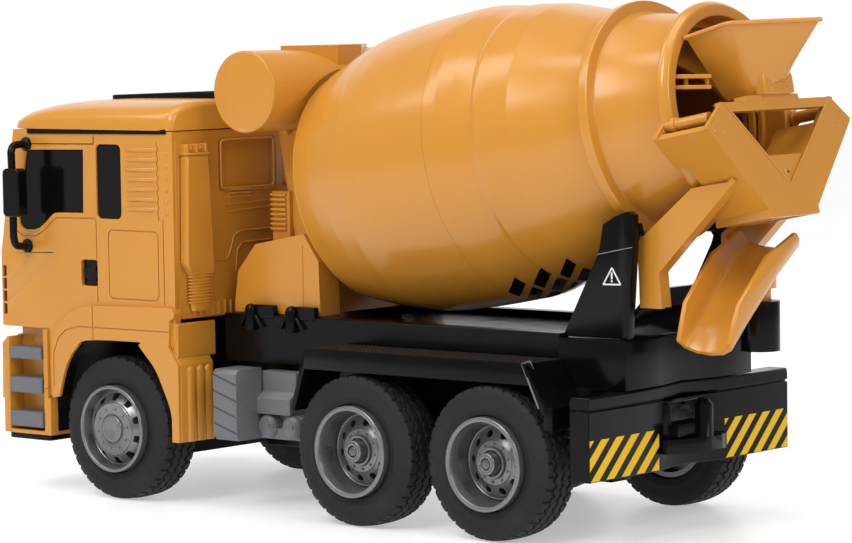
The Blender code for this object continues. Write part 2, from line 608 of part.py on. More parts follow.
# ---------------------------------------------------------------- drum
front_profile = [(-29.5, 0), (-29.5, 47.8), (-27.7, 48), (-8.5, 54), (-3.6, 55.3), (4, 57), (13, 58), (26, 58.7),
                 (37, 58.9), (49.85, 58.9), (49.85, 56.9), (26, 56.7), (4, 55), (-8.5, 52), (-26, 46.4), (-27.5, 0)]
solid("drum_front_shell", "orange", [turned(front_profile, DRUM, (0, 0), 40)], origin=in_drum(0, 10, 0))
rear_profile = [(50.15, 56.9), (50.15, 58.9), (56, 58.5), (71, 55), (73.5, 55.7), (87.7, 53), (RING_S, 43.2),
                (RING_S, RING_R), (RING_S + 4.5, RING_R), (RING_S + 4.5, 42.6), (149, 36), (150.6, 40.5),
                (152.6, 40.8), (155.4, 38.8), (155.4, 34.5), (147, 34.2), (121, 40.4), (87, 50.8), (71, 53), (56, 56.4)]
solid("drum_rear_shell", "orange", [turned(rear_profile, DRUM, (0, 0), 40, ring=True)], origin=in_drum(0, 100, 0))

roller_v = -math.sqrt((RING_R + ROLLER_R + GAP) ** 2 - ROLLER_X ** 2)
for side, word in ((1, "left"), (-1, "right")):
    roller = turned([(113.4, 0), (113.4, 1.1), (116.8, 1.1), (116.8, ROLLER_R), (123.8, ROLLER_R), (123.8, 1.1),
                     (127.2, 1.1), (127.2, 0)], DRUM, (side * ROLLER_X, roller_v), 24)
    solid(f"support_roller_{word}", "satin_black", [roller], origin=in_drum(side * ROLLER_X, 120, roller_v))

tower_plate = [prism([(100, 77.3), (131, 77.6), (133.8, 112.5), (133.8, 124.4), (131.5, 125.8), (125, 123.6),
                      (119.6, 120.6), (118, 112), (117, 109)], 35.7, 38, SIDE)]
tower_plate.append(prism([(131, 77.3), (133.8, 112.5), (133.8, 124.4), (131.5, 125.8), (129.4, 125), (130, 112),
                          (127.2, 77.3)], 34.4, 38.4, SIDE))
for low, high in ((113.6, 116.4), (124.2, 126.4)):
    ear = [(28.5, roller_v - 2.6), (31.5, roller_v - 3), (36.5, roller_v - 9), (36.5, roller_v + 3), (29, roller_v + 2)]
    tower_plate.append(prism(ear, low, high, DRUM))

wall = prism([(-36.5, 77.3), (36.5, 77.3), (36.5, 82), (18, 95), (-18, 95), (-36.5, 82)], 127, 129.7, BACK)
arm_outline = [(-9, 126), (9, 126), (6, 150), (6, 160), (-6, 160), (-6, 150), (-9, 126)][:6]
pin_hole = turned([(110, 0), (110, 1.35), (130, 1.35), (130, 0)], DRUM, (ROLLER_X, roller_v), 14)
solid("rear_tower", "black",
      [wall, prism(arm_outline, 78, 88), rod(7.5, 72, 91, PLAN, (0, SWIVEL_Y), 28)] + tower_plate
      + mirrored(tower_plate),
      cut=[rod(4.5, 77, 95, PLAN, (0, SWIVEL_Y), 20), pin_hole, moved(pin_hole, MIRROR)])


# ---------------------------------------------------------------- chute
def chute_section(x, z, slope, half, height, inner):
    """A U across the chute: the floor at (x, z), walls standing square to the slope."""
    along = Vector((math.cos(slope), 0, math.sin(slope)))
    up = Vector((-along.z, 0, along.x))
    wall_t = 1.9 if inner else 0.0
    half_in = half - wall_t
    top = height + (6 if inner else 0)
    loop = [(-half_in, top), (-half_in, half * 0.55)]
    for step in range(1, 6):
        angle = math.pi + math.pi * step / 6
        loop.append((half_in * math.cos(angle), half * 0.55 + (half * 0.55 - wall_t) * math.sin(angle)))
    loop += [(half_in, half * 0.55), (half_in, top)]
    return [Vector((x, SWIVEL_Y - 1, z)) + Vector((0, 1, 0)) * y + up * h for y, h in loop]


down = math.radians(-42)
stations = [(-13, 108.8, down, 13.6, 10.5), (2, 98, down, 13.5, 15), (21, 81.5, down, 13, 14),
            (30.5, 72.5, down, 12.4, 7.5)]
outer_chute = loft([chute_section(*station, False) for station in stations])
inner_chute = loft([chute_section(*station, True) for station in
                    [(-18, 112.5, down, 13.6, 10.5), *stations, (34, 69, down, 12.4, 7.5)]])
chute_pin = turned([(79, 0), (79, 4.2), (95.8, 4.2), (95.8, 6.2), (106, 6.2), (106, 0)], PLAN, (0, SWIVEL_Y), 24)
solid("chute", "orange", [outer_chute, chute_pin], [inner_chute], origin=(0, SWIVEL_Y, 95))

# ---------------------------------------------------------------- collector and hopper
FRONT_S = 150.8
BACK_S = 176.0


def collector():
    arm = [(34.5, -1.8), (46.7, -11), (16.2, -42.4), (16.2, -45.5), (-16.2, -45.5), (-16.2, -42.4), (-46.7, -11),
           (-34.5, -1.8), (0, -33.2)]
    hollow_arm = [(36.3, 2), (46.4, -6), (41, -14.5), (14.2, -41.6), (14.2, -49), (1.2, -49), (1.2, -36.5)]
    core = hollow_arm
    cutter = prism(core, FRONT_S + 2.2, BACK_S - 2.2, DRUM)
    mouth = turned([(140, 0), (140, 42.3), (156.4, 42.3), (156.4, 0)], DRUM, (0, 0), 40)
    bar = prism([(-37, -5), (37, -5), (37, -1.4), (-37, -1.4)], 170, 176, DRUM)
    gusset = prism([(-11.5, -22.2), (11.5, -22.2), (1, -33), (-1, -33)], 172, 175.6, DRUM)
    saddle = prism([(-8.5, -2), (8.5, -2), (8.5, 7.2), (5, 4), (-5, 4), (-8.5, 7.2)], 170, 176, DRUM)
    return [prism(arm, FRONT_S, BACK_S, DRUM), bar, gusset, saddle], [cutter, moved(cutter, MIRROR), mouth]


bracket = [(155.4, 134.9), (175, 137.8), (139.6, 102.8), (140.9, 88.9), (131.0, 88.9), (129.6, 113.6)]
rim_points = [(25, 148.9, 191.4), (25, 169.8, 197), (20, 171.7, 196.4), (0, 193.5, 197.6)]
base_points = [(10, 156.4, 167.4), (10, 164, 167), (9, 169.8, 169.4), (0, 173.8, 176)]


def whole_ring(half):
    return half + [(-x, y, z) for x, y, z in reversed(half[:3])]


hopper_in = [[(23.5, 146.5, 191.4), (23.5, 169.2, 197), (18.9, 170.8, 196.4), (0, 191.5, 197.6)],
             [(8.5, 153.5, 170.5), (8.5, 163.4, 170), (7.7, 168.6, 172), (0, 172.2, 178)]]
above = [tuple(Vector(top) + (Vector(top) - Vector(low)) * 0.2) for top, low in zip(*hopper_in)]
solid("filling_hopper", "orange", [loft([whole_ring(base_points), whole_ring(rim_points)])],
      [loft([whole_ring(hopper_in[1]), whole_ring(hopper_in[0]), whole_ring(above)])], smooth=False)

channel = prism(bracket, 27.8, 30, SIDE)
flange = prism(strip([(175, 137.8), (139.8, 102.5), (141.1, 89.3)], 2), 24, 30, SIDE)
back_flange = prism(strip([(130.7, 88.8), (130.0, 113.8), (155.4, 132.9)], 2), 24, 30, SIDE)
brackets = [channel, flange, back_flange]
collector_add, collector_cut = collector()
seat = loft([whole_ring([(x + 0.5, y + 0.5, z - 0.5) for x, y, z in base_points]),
             whole_ring([(x + 0.5, y + 0.5, z) for x, y, z in rim_points])])
solid("discharge_collector", "orange", collector_add + brackets + mirrored(brackets), collector_cut + [seat])
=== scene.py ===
"""Toy cement mixer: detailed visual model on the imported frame."""

import json
import math

import bmesh
import bpy
from mathutils import Matrix, Vector


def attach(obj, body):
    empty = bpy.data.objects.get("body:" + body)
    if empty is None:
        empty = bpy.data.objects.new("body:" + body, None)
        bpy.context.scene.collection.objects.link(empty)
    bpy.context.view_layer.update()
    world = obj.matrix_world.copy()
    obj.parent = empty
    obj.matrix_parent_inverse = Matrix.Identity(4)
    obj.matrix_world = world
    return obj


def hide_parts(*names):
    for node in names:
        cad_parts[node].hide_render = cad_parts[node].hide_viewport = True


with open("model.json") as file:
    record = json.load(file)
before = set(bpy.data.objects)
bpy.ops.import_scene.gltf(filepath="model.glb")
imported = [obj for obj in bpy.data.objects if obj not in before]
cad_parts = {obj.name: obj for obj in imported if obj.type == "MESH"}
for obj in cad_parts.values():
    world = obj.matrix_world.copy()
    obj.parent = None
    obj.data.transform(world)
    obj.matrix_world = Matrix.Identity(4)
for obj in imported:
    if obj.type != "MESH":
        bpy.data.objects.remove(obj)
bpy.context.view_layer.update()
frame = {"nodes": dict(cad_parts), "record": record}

# Every shape is in truck millimetres: x to the truck's left, y to its rear, z up from the ground.
MM = 0.001
SHIFT_Y = -2.65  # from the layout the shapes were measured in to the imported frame
SHARP = 35  # degrees: edges sharper than this stay sharp
DRUM_Z = 135.75
TILT = math.radians(10.66)
COS = math.cos(TILT)
SIN = math.sin(TILT)
TANK_R = 16.7
TANK_Y = -53.5
TANK_Z = 170.0
WHEEL_R = 30.0
SIDE_X = 64.5  # outer face of the cab's side
FENDER_X = 66.0  # outer face of the flare round the front wheel
CAB_REAR_Y = -80.8


# ------------------------------------------------------------------ shapes
def basis(first, second, third, origin=(0, 0, 0)):
    """The matrix that takes local axes to these directions."""
    columns = [Vector(first), Vector(second), Vector(third), Vector(origin)]
    rows = [[column[row] for column in columns] for row in range(3)]
    return Matrix(rows + [[0, 0, 0, 1]])


SIDE = basis((0, 1, 0), (0, 0, 1), (1, 0, 0))
FRONT = basis((1, 0, 0), (0, 0, 1), (0, -1, 0))
BACK = basis((1, 0, 0), (0, 0, 1), (0, 1, 0))
PLAN = basis((1, 0, 0), (0, 1, 0), (0, 0, 1))
DRUM = basis((1, 0, 0), (0, -SIN, COS), (0, COS, SIN), (0, 0, DRUM_Z))
MIRROR = Matrix.Scale(-1, 4, (1, 0, 0))


def moved(shape, matrix):
    points, faces = shape
    return [matrix @ Vector(point) for point in points], faces


def mirrored(shapes):
    return [moved(shape, MIRROR) for shape in shapes]


def prism(outline, low, high, plane=PLAN):
    """An outline in the plane's first two directions, drawn out along the third."""
    count = len(outline)
    points = [(u, v, w) for w in (low, high) for u, v in outline]
    faces = [tuple(range(count)), tuple(range(count, 2 * count))]
    for index in range(count):
        after = (index + 1) % count
        faces.append((index, after, count + after, count + index))
    return moved((points, faces), plane)


def block(x, y, z):
    return prism([(x[0], y[0]), (x[1], y[0]), (x[1], y[1]), (x[0], y[1])], z[0], z[1])


def turned(profile, plane=PLAN, centre=(0, 0), segments=48, ring=False):
    """A line of (along, radius) turned about the plane's third direction; a ring joins its ends."""
    points = []
    rows = []
    for along, radius in profile:
        steps = 1 if radius == 0 else segments
        row = []
        for step in range(steps):
            angle = 2 * math.pi * step / segments
            u = centre[0] + radius * math.cos(angle)
            v = centre[1] + radius * math.sin(angle)
            row.append(len(points))
            points.append((u, v, along))
        rows.append(row)
    pairs = list(zip(rows, rows[1:]))
    if ring:
        pairs.append((rows[-1], rows[0]))
    faces = []
    for low, high in pairs:
        for step in range(segments):
            after = (step + 1) % segments
            corners = [low[step % len(low)], low[after % len(low)]]
            corners += [high[after % len(high)], high[step % len(high)]]
            unique = list(dict.fromkeys(corners))
            if len(unique) > 2:
                faces.append(tuple(unique))
    return moved((points, faces), plane)


def rod(radius, low, high, plane=PLAN, centre=(0, 0), segments=32):
    profile = [(low, 0), (low, radius), (high, radius), (high, 0)]
    return turned(profile, plane, centre, segments)


def loft(sections):
    """Closed loops of equal length, joined one to the next."""
    count = len(sections[0])
    points = [Vector(point) for section in sections for point in section]
    faces = [tuple(range(count)), tuple(range(len(points) - count, len(points)))]
    for row in range(len(sections) - 1):
        base = row * count
        for index in range(count):
            after = (index + 1) % count
            faces.append((base + index, base + after, base + count + after, base + count + index))
    return points, faces


def smooth_path(path, steps=6):
    """A Catmull-Rom curve through the path's points."""
    path = [Vector(point) for point in path]
    made = []
    for index in range(len(path) - 1):
        p0 = path[max(index - 1, 0)]
        p1 = path[index]
        p2 = path[index + 1]
        p3 = path[min(index + 2, len(path) - 1)]
        for step in range(steps):
            t = step / steps
            made.append(0.5 * ((2 * p1) + (p2 - p0) * t + (2 * p0 - 5 * p1 + 4 * p2 - p3) * t * t
                               + (3 * p1 - p0 - 3 * p2 + p3) * t ** 3))
    return made + [path[-1]]


def with_ways(path):
    """Each point with the directions into and out of it; an end has the same one twice."""
    path = [Vector(point) for point in path]
    ways = [(after - before).normalized() for before, after in zip(path, path[1:])]
    return zip(path, ways[:1] + ways, ways + ways[-1:])


def tube(path, radius, segments=16):
    """A round rod along a path."""
    sections = []
    side = None
    for point, before, after in with_ways(path):
        along = (before + after).normalized()
        if side is None:
            side = along.orthogonal().normalized()
        side = (side - along * side.dot(along)).normalized()
        up = along.cross(side)
        loop = []
        for step in range(segments):
            angle = 2 * math.pi * step / segments
            loop.append(point + radius * (math.cos(angle) * side + math.sin(angle) * up))
        sections.append(loop)
    return loft(sections)


def strip(path, thickness):
    """The outline of a band of even thickness on one side of a flat path."""
    outer = []
    for point, before, after in with_ways(path):
        normals = [Vector((along.y, -along.x)) for along in (before, after)]
        middle = (normals[0] + normals[1]).normalized()
        outer.append(tuple(point + middle * thickness / middle.dot(normals[0])))
    return [tuple(Vector(point)) for point in path] + outer[::-1]


def rounded(x, y, radius, steps=5):
    """The outline of a rectangle with round corners."""
    outline = []
    corners = [(x[1], y[1], 0), (x[0], y[1], 90), (x[0], y[0], 180), (x[1], y[0], 270)]
    for corner_x, corner_y, start in corners:
        centre_x = corner_x - math.copysign(radius, corner_x - sum(x) / 2)
        centre_y = corner_y - math.copysign(radius, corner_y - sum(y) / 2)
        for step in range(steps + 1):
            angle = math.radians(start + 90 * step / steps)
            outline.append((centre_x + radius * math.cos(angle), centre_y + radius * math.sin(angle)))
    return outline


def mesh_of(name, shapes, shift=SHIFT_Y):
    """One mesh in metres from (points, faces) shapes in millimetres."""
    mesh = bmesh.new()
    for points, faces in shapes:
        verts = [mesh.verts.new((Vector(point) + Vector((0, shift, 0))) * MM) for point in points]
        for face in faces:
            mesh.faces.new([verts[index] for index in face])
    bmesh.ops.recalc_face_normals(mesh, faces=mesh.faces)
    data = bpy.data.meshes.new(name)
    mesh.to_mesh(data)
    mesh.free()
    return data


def new_object(name, data):
    obj = bpy.data.objects.new(name, data)
    bpy.context.scene.collection.objects.link(obj)
    return obj


def wear(data, material):
    data.materials.clear()
    data.materials.append(material)


def smooth(data, angle=SHARP):
    data.shade_smooth()
    data.set_sharp_from_angle(angle=math.radians(angle))


def soften(obj, width, angle=SHARP):
    """Rounded edges: welded, flat faces joined, then bevelled."""
    weld = obj.modifiers.new("weld", "WELD")
    weld.merge_threshold = 0.01 * MM
    flat = obj.modifiers.new("flat", "DECIMATE")
    flat.decimate_type = "DISSOLVE"
    flat.angle_limit = math.radians(1.0)
    bevel = obj.modifiers.new("bevel", "BEVEL")
    bevel.width = width * MM
    bevel.segments = 2
    bevel.limit_method = "ANGLE"
    bevel.angle_limit = math.radians(30)
    bevel.use_clamp_overlap = True
    bevel.miter_outer = "MITER_ARC"
    bevel.harden_normals = False
    smooth(obj.data, angle)


def boolean(obj, shapes, operation):
    """Applies one exact Boolean for each shape, then drops its helper."""
    for shape in shapes:
        other = new_object("cutter", mesh_of("cutter", [shape]))
        modifier = obj.modifiers.new("cut", "BOOLEAN")
        modifier.operation = operation
        modifier.object = other
        modifier.solver = "EXACT"
        bpy.context.view_layer.update()
        graph = bpy.context.evaluated_depsgraph_get()
        made = bpy.data.meshes.new_from_object(obj.evaluated_get(graph))
        obj.modifiers.remove(modifier)
        old = obj.data
        obj.data = made
        bpy.data.meshes.remove(old)
        bpy.data.objects.remove(other, do_unlink=True)


def piece(name, shapes, slot="orange", material=None, body="chassis", replace=(), bevel=None, add=(),
          cut=(), angle=SHARP):
    """A new visible piece in its slot's material or its own; add joins and cut removes shapes exactly."""
    obj = new_object(name, mesh_of(name, shapes))
    boolean(obj, add, "UNION")
    boolean(obj, cut, "DIFFERENCE")
    obj.data.name = name
    wear(obj.data, material or SLOT_MATERIALS[slot])
    if bevel:
        soften(obj, bevel, angle)
    else:
        smooth(obj.data, angle)
    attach(obj, body)
    if replace:
        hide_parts(*replace)


# ------------------------------------------------------------------ materials
class Nodes:
    """Short names for building a shader."""

    def __init__(self, name, colour, roughness, metallic=0.0, **sockets):
        self.material = bpy.data.materials.new(name)
        self.material.use_nodes = True
        self.tree = self.material.node_tree
        self.shader = self.tree.nodes["Principled BSDF"]
        self.shader.inputs["Base Color"].default_value = (*colour, 1)
        self.shader.inputs["Roughness"].default_value = roughness
        self.shader.inputs["Metallic"].default_value = metallic
        for key, value in sockets.items():
            self.shader.inputs[key.replace("_", " ")].default_value = value
        self.coordinates = self.add("ShaderNodeTexCoord")

    def add(self, kind, **settings):
        node = self.tree.nodes.new(kind)
        for key, value in settings.items():
            setattr(node, key, value)
        return node

    def link(self, out, into):
        self.tree.links.new(out, into)

    def noise(self, scale, detail=3.0, roughness=0.5):
        node = self.add("ShaderNodeTexNoise")
        node.inputs["Scale"].default_value = scale
        node.inputs["Detail"].default_value = detail
        node.inputs["Roughness"].default_value = roughness
        self.link(self.coordinates.outputs["Object"], node.inputs["Vector"])
        return node.outputs["Fac"]

    def span(self, value, low, high, low_in=0.0, high_in=1.0):
        node = self.add("ShaderNodeMapRange")
        node.inputs["From Min"].default_value = low_in
        node.inputs["From Max"].default_value = high_in
        node.inputs["To Min"].default_value = low
        node.inputs["To Max"].default_value = high
        self.link(value, node.inputs["Value"])
        return node.outputs["Result"]

    def math(self, operation, first, second=0.0):
        node = self.add("ShaderNodeMath", operation=operation)
        for socket, value in zip(node.inputs, (first, second)):
            if isinstance(value, (int, float)):
                socket.default_value = value
            else:
                self.link(value, socket)
        return node.outputs[0]

    def mix(self, factor, one, two):
        """Sockets 6 and 7 in and 2 out are the node's colours."""
        node = self.add("ShaderNodeMix", data_type="RGBA")
        self.link(factor, node.inputs[0])
        for socket, value in ((node.inputs[6], one), (node.inputs[7], two)):
            if isinstance(value, tuple):
                socket.default_value = (*value, 1)
            else:
                self.link(value, socket)
        return node.outputs[2]

    def xyz(self):
        node = self.add("ShaderNodeSeparateXYZ")
        self.link(self.coordinates.outputs["Object"], node.inputs[0])
        return node.outputs

    def colour(self, value):
        self.link(value, self.shader.inputs["Base Color"])

    def rough(self, value):
        self.link(value, self.shader.inputs["Roughness"])

    def bump(self, height, distance, strength=1.0):
        node = self.add("ShaderNodeBump")
        node.inputs["Distance"].default_value = distance
        node.inputs["Strength"].default_value = strength
        self.link(height, node.inputs["Height"])
        self.link(node.outputs["Normal"], self.shader.inputs["Normal"])


def plastic(name, colour, roughness, variation=0.06, wave=0.00006, specular=0.5):
    """Moulded plastic: faint flow lines in colour, uneven gloss and a slight ripple in the surface."""
    made = Nodes(name, colour, roughness, Specular_IOR_Level=specular, IOR=1.5)
    flow = made.noise(22, 3, 0.55)
    darker = tuple(channel * (1 - variation) for channel in colour)
    lighter = tuple(min(1, channel * (1 + variation)) for channel in colour)
    made.colour(made.mix(made.span(flow, 0, 1, 0.3, 0.7), darker, lighter))
    made.rough(made.span(made.noise(90, 4, 0.6), roughness * 0.82, roughness * 1.2, 0.3, 0.7))
    made.bump(made.noise(55, 2, 0.4), wave)
    return made.material


ORANGE = plastic("orange_plastic", (0.56, 0.235, 0.026), 0.22, 0.02, specular=0.55)
BLACK = plastic("black_plastic", (0.003, 0.003, 0.0033), 0.2, 0.2, specular=0.14)
SATIN = plastic("satin_black_plastic", (0.003, 0.003, 0.0035), 0.42, 0.2, specular=0.1)
GREY = plastic("grey_plastic", (0.125, 0.128, 0.14), 0.42, 0.04)
PANE = plastic("window_plastic", (0.0025, 0.0027, 0.003), 0.12, 0.1, 0.00001, specular=0.17)
WHITE = plastic("gear_plastic", (0.62, 0.6, 0.55), 0.45, 0.05)
GREEN = plastic("board_green", (0.02, 0.16, 0.06), 0.4, 0.2)
BLUE = plastic("wrap_blue", (0.03, 0.09, 0.3), 0.3, 0.1)
LAMP = plastic("lamp_red", (0.1, 0.008, 0.003), 0.2, 0.2)
YELLOW = plastic("stripe_yellow", (0.74, 0.45, 0.003), 0.35, 0.05, 0.00001, specular=0.2)
MARK = plastic("mark_white", (0.75, 0.75, 0.75), 0.4, 0.03, 0.00001)
LENS = plastic("lamp_glass", (0.5, 0.52, 0.55), 0.08, 0.02, 0.00001)
# Grey for thin lines along black edges: painted highlights where those edges catch the light.
EDGE_HIGHLIGHT = plastic("painted_edge_highlight", (0.16, 0.16, 0.165), 0.3, 0.1)


def walkway():
    """Black plate with rows of small raised dots, painted lighter on their tops as a highlight."""
    made = Nodes("walkway_mesh", (0.007, 0.007, 0.0078), 0.4, Specular_IOR_Level=0.35)
    axes = made.xyz()
    waves = [made.math("SINE", made.math("MULTIPLY", axes[index], 3100.0)) for index in (0, 1)]
    dots = made.math("MULTIPLY", waves[0], waves[1])
    # The raised tops of the dots are painted lighter: a painted highlight that follows the bump.
    made.colour(made.mix(made.span(dots, 0, 1, 0.2, 0.7), (0.006, 0.006, 0.007), (0.02, 0.02, 0.021)))
    made.bump(dots, 0.0004)
    return made.material


def rubber():
    """Dusty black with a fine grain."""
    made = Nodes("tyre_rubber", (0.0115, 0.0125, 0.0145), 0.62, Specular_IOR_Level=0.3, IOR=1.45)
    grain = made.noise(900, 2, 0.5)
    dust = made.span(made.noise(40, 3), 0, 1, 0.3, 0.7)
    made.colour(made.mix(dust, (0.0095, 0.0103, 0.012), (0.0145, 0.0158, 0.0182)))
    made.rough(made.span(grain, 0.5, 0.72, 0.3, 0.7))
    made.bump(grain, 0.00005, 0.6)
    return made.material


def silver():
    """Metallic paint with fine flakes."""
    made = Nodes("silver_paint", (0.2, 0.205, 0.215), 0.32, 0.8, IOR=1.5)
    flakes = made.span(made.noise(2600, 2), 0, 1, 0.35, 0.65)
    made.colour(made.mix(flakes, (0.16, 0.163, 0.17), (0.25, 0.254, 0.262)))
    made.rough(made.span(made.noise(120, 3), 0.26, 0.38, 0.3, 0.7))
    made.bump(made.noise(1500, 2), 0.00002)
    return made.material


def brushed():
    made = Nodes("steel", (0.16, 0.16, 0.17), 0.3, 1.0)
    made.rough(made.span(made.noise(700, 3), 0.22, 0.42, 0.3, 0.7))
    made.bump(made.noise(900, 2), 0.00002)
    return made.material


MESH = walkway()
RUBBER = rubber()
SILVER = silver()
STEEL = brushed()

SLOT_MATERIALS = {
    "orange": ORANGE, "black_gloss": BLACK, "black_satin": SATIN, "grey": GREY, "rim_silver": SILVER,
    "tyre_rubber": RUBBER, "steel": STEEL, "window_black": PANE, "gear_white": WHITE,
    "circuit_green": GREEN, "electric_blue": BLUE,
}

# ------------------------------------------------------------------ stage, camera and light
CAMERA_DISTANCE = 1435.5
BACKDROP_DISTANCE = 5.0  # metres, as are the stage's other sizes
BACKDROP_HALF = 6.0
BACKDROP_TALL = 4.0
FLOOR_HALF = 6.0

camera_data = bpy.data.cameras.new("camera")
camera = new_object("camera", camera_data)
bpy.context.scene.camera = camera
azimuth, elevation, roll = (math.radians(value) for value in (130.293, 4.39, -0.852))
level = Vector((-math.sin(azimuth), math.cos(azimuth), 0))
look = level * math.cos(elevation) - Vector((0, 0, math.sin(elevation)))
right = look.cross(Vector((0, 0, 1))).normalized()
above = right.cross(look)
rolled_right = math.cos(roll) * right + math.sin(roll) * above
rolled_up = rolled_right.cross(look)
target = Vector((0, -0.387 + SHIFT_Y, 95.606))
camera.matrix_world = basis(rolled_right, rolled_up, -look, (target - look * CAMERA_DISTANCE) * MM)
camera_data.sensor_width = 36
camera_data.lens = 148.6
camera_data.clip_start = 0.05
camera_data.clip_end = 50


def sheet(name, corners, made):
    mesh = bpy.data.meshes.new(name)
    mesh.from_pydata(corners, [], [(0, 1, 2, 3)])
    mesh.materials.append(made.material)
    return new_object(name, mesh)


floor_look = Nodes("floor", (0.62, 0.62, 0.62), 0.4, Emission_Color=(1, 1, 1, 1), Emission_Strength=0.42)
floor_look.rough(floor_look.span(floor_look.noise(3, 2), 0.34, 0.46))
floor_corners = [(x * FLOOR_HALF, y * FLOOR_HALF, 0) for x, y in ((-1, -1), (1, -1), (1, 1), (-1, 1))]
floor = sheet("floor", floor_corners, floor_look)

white = Nodes("backdrop", (0, 0, 0), 1.0, Emission_Color=(1, 1, 1, 1), Emission_Strength=1.02)
behind = level * BACKDROP_DISTANCE
beside = Vector((-level.y, level.x, 0)) * BACKDROP_HALF
lifted = Vector((0, 0, BACKDROP_TALL))
backdrop_corners = [behind - beside, behind + beside, behind + beside + lifted, behind - beside + lifted]
backdrop = sheet("backdrop", backdrop_corners, white)

world = bpy.data.worlds.new("studio")
bpy.context.scene.world = world
world.use_nodes = True
background = world.node_tree.nodes["Background"]
background.inputs["Color"].default_value = (1, 1, 1, 1)
background.inputs["Strength"].default_value = 0.4


def area_light(name, place, size, power):
    """A rectangle of light, with its place and size in metres, aimed at the truck."""
    data = bpy.data.lights.new(name, "AREA")
    data.shape = "RECTANGLE"
    data.size, data.size_y = size
    data.energy = power
    light = new_object(name, data)
    light.location = place
    light.rotation_euler = (Vector((0, 0, 0.1)) - Vector(place)).to_track_quat("-Z", "Y").to_euler()


area_light("key", (1.1, 0.1, 1.2), (0.7, 0.7), 13)
area_light("rear", (0.2, 1.5, 1.0), (0.9, 0.7), 9)
area_light("top", (0, 0, 1.6), (1.0, 1.0), 8)
area_light("sheen", (0.62, -0.72, 1.1), (0.35, 0.8), 3.5)
bpy.context.scene.view_settings.view_transform = "Standard"

# ------------------------------------------------------------------ CAD nodes
# Joining their flat faces leaves gaps in these shapes, so they are not bevelled.
NOT_BEVELLED = ("discharge_collector", "filling_hopper", "cab_steps_left", "cab_steps_right")
for entry in frame["record"]["subparts"]:
    name = entry["node"]
    node = frame["nodes"][name]
    wear(node.data, SLOT_MATERIALS[entry["material_slot"]])
    if name in NOT_BEVELLED:
        smooth(node.data, 30)
    elif "tyre" not in name and "drum_" not in name:
        soften(node, 0.45)


# ------------------------------------------------------------------ wheels
WHEEL_SHARP = 32
TREAD_HALF = 8.15
SIDEWALL = [(-8.2, 18.45), (-9.0, 18.7), (-9.25, 19.4), (-9.3, 21.0), (-9.4, 21.3), (-9.4, 21.8),
            (-9.3, 22.1), (-9.4, 24.5), (-9.25, 26.4), (-8.95, 27.6), (-8.5, 28.6)]


def tyre_depth(x, radius, turn, on_tread):
    """How deep the pattern is at a point; turn counts the zigzags passed on the way round."""
    wave = 4 * abs((turn % 1) - 0.5) - 1
    notch = (turn * 0.8 + (0.15 if x > 0 else 0.65)) % 1
    if abs(x) > 5.6 + 0.5 * wave and radius > 26.5 and notch < 0.2:
        return 0.6 if on_tread else 0.4
    if on_tread and any(abs(x - centre - 0.75 * wave) < 0.42 for centre in (-4.3, 0.0, 4.3)):
        return 1.2
    return 0.0


def tyre_mesh(around=360, across=36, zigzags=45):
    """A tyre about its own centre, axis along X: zigzag grooves, shoulder notches and a ribbed sidewall."""
    columns = [(x, radius, False) for x, radius in SIDEWALL]
    for step in range(across + 1):
        x = -TREAD_HALF + 2 * TREAD_HALF * step / across
        columns.append((x, WHEEL_R - 0.55 * (abs(x) / TREAD_HALF) ** 3, True))
    columns += [(-x, radius, False) for x, radius in reversed(SIDEWALL)]
    count = len(columns)
    points = []
    faces = []
    for step in range(around):
        angle = 2 * math.pi * step / around
        here = step * count
        ahead = (step + 1) % around * count
        for index, (x, radius, on_tread) in enumerate(columns):
            worn = radius - tyre_depth(x, radius, step * zigzags / around, on_tread)
            points.append((x, worn * math.cos(angle), worn * math.sin(angle)))
            beyond = (index + 1) % count
            faces.append((here + index, here + beyond, ahead + beyond, ahead + index))
    data = mesh_of("tyre_tread", [(points, faces)], 0)
    wear(data, RUBBER)
    smooth(data, WHEEL_SHARP)
    return data


def fillet(profile, radius, steps=3):
    """Rounds each inner corner of an (along, radius) line."""
    made = [profile[0]]
    for before, here, after in zip(profile, profile[1:], profile[2:]):
        a, b, c = (Vector(point) for point in (before, here, after))
        reach = min(radius, (b - a).length * 0.45, (c - b).length * 0.45)
        start = b + (a - b).normalized() * reach
        end = b + (c - b).normalized() * reach
        for step in range(steps + 1):
            t = step / steps
            point = start.lerp(b, t).lerp(b.lerp(end, t), t)
            made.append(tuple(point))
    return made + [profile[-1]]


def knob(radius, height, base, u, v, plane=SIDE, segments=20, steps=5, root=0.5):
    """A low dome that stands on a face."""
    rows = [(base - root, 0), (base - root, radius)]
    for step in range(steps):
        angle = math.pi / 2 * step / steps
        rows.append((base + height * math.sin(angle), radius * math.cos(angle)))
    rows.append((base + height, 0))
    return turned(rows, plane, (u, v), segments)


def ring_of(count, radius, turn=0.0):
    angles = [2 * math.pi * (step + turn) / count for step in range(count)]
    return [(radius * math.cos(angle), radius * math.sin(angle), angle) for angle in angles]


def nuts(count, ring, radius, height, base, segments=12):
    return [knob(radius, height, base, y, z, SIDE, segments, 4, 0.4) for y, z, _ in ring_of(count, ring)]


def rim_mesh(name, line, radius, cuts, trim):
    """A turned rim about its own centre, with cuts through it and small loose solids on it."""
    obj = new_object(name, mesh_of(name, [turned(fillet(line, radius, 2), SIDE, (0, 0), 80)]))
    boolean(obj, cuts, "DIFFERENCE")
    data = obj.data
    bpy.data.objects.remove(obj, do_unlink=True)
    data.transform(Matrix.Translation((0, -SHIFT_Y * MM, 0)))
    wear(data, SILVER)
    smooth(data, WHEEL_SHARP)
    mesh = bmesh.new()
    mesh.from_mesh(data)
    for points, faces in trim:
        verts = [mesh.verts.new(Vector(point) * MM) for point in points]
        made = [mesh.faces.new([verts[index] for index in face]) for face in faces]
        bmesh.ops.recalc_face_normals(mesh, faces=made)
        for face in made:
            face.smooth = True
    mesh.to_mesh(data)
    mesh.free()
    data.set_sharp_from_angle(angle=math.radians(WHEEL_SHARP))
    data.name = name
    return data


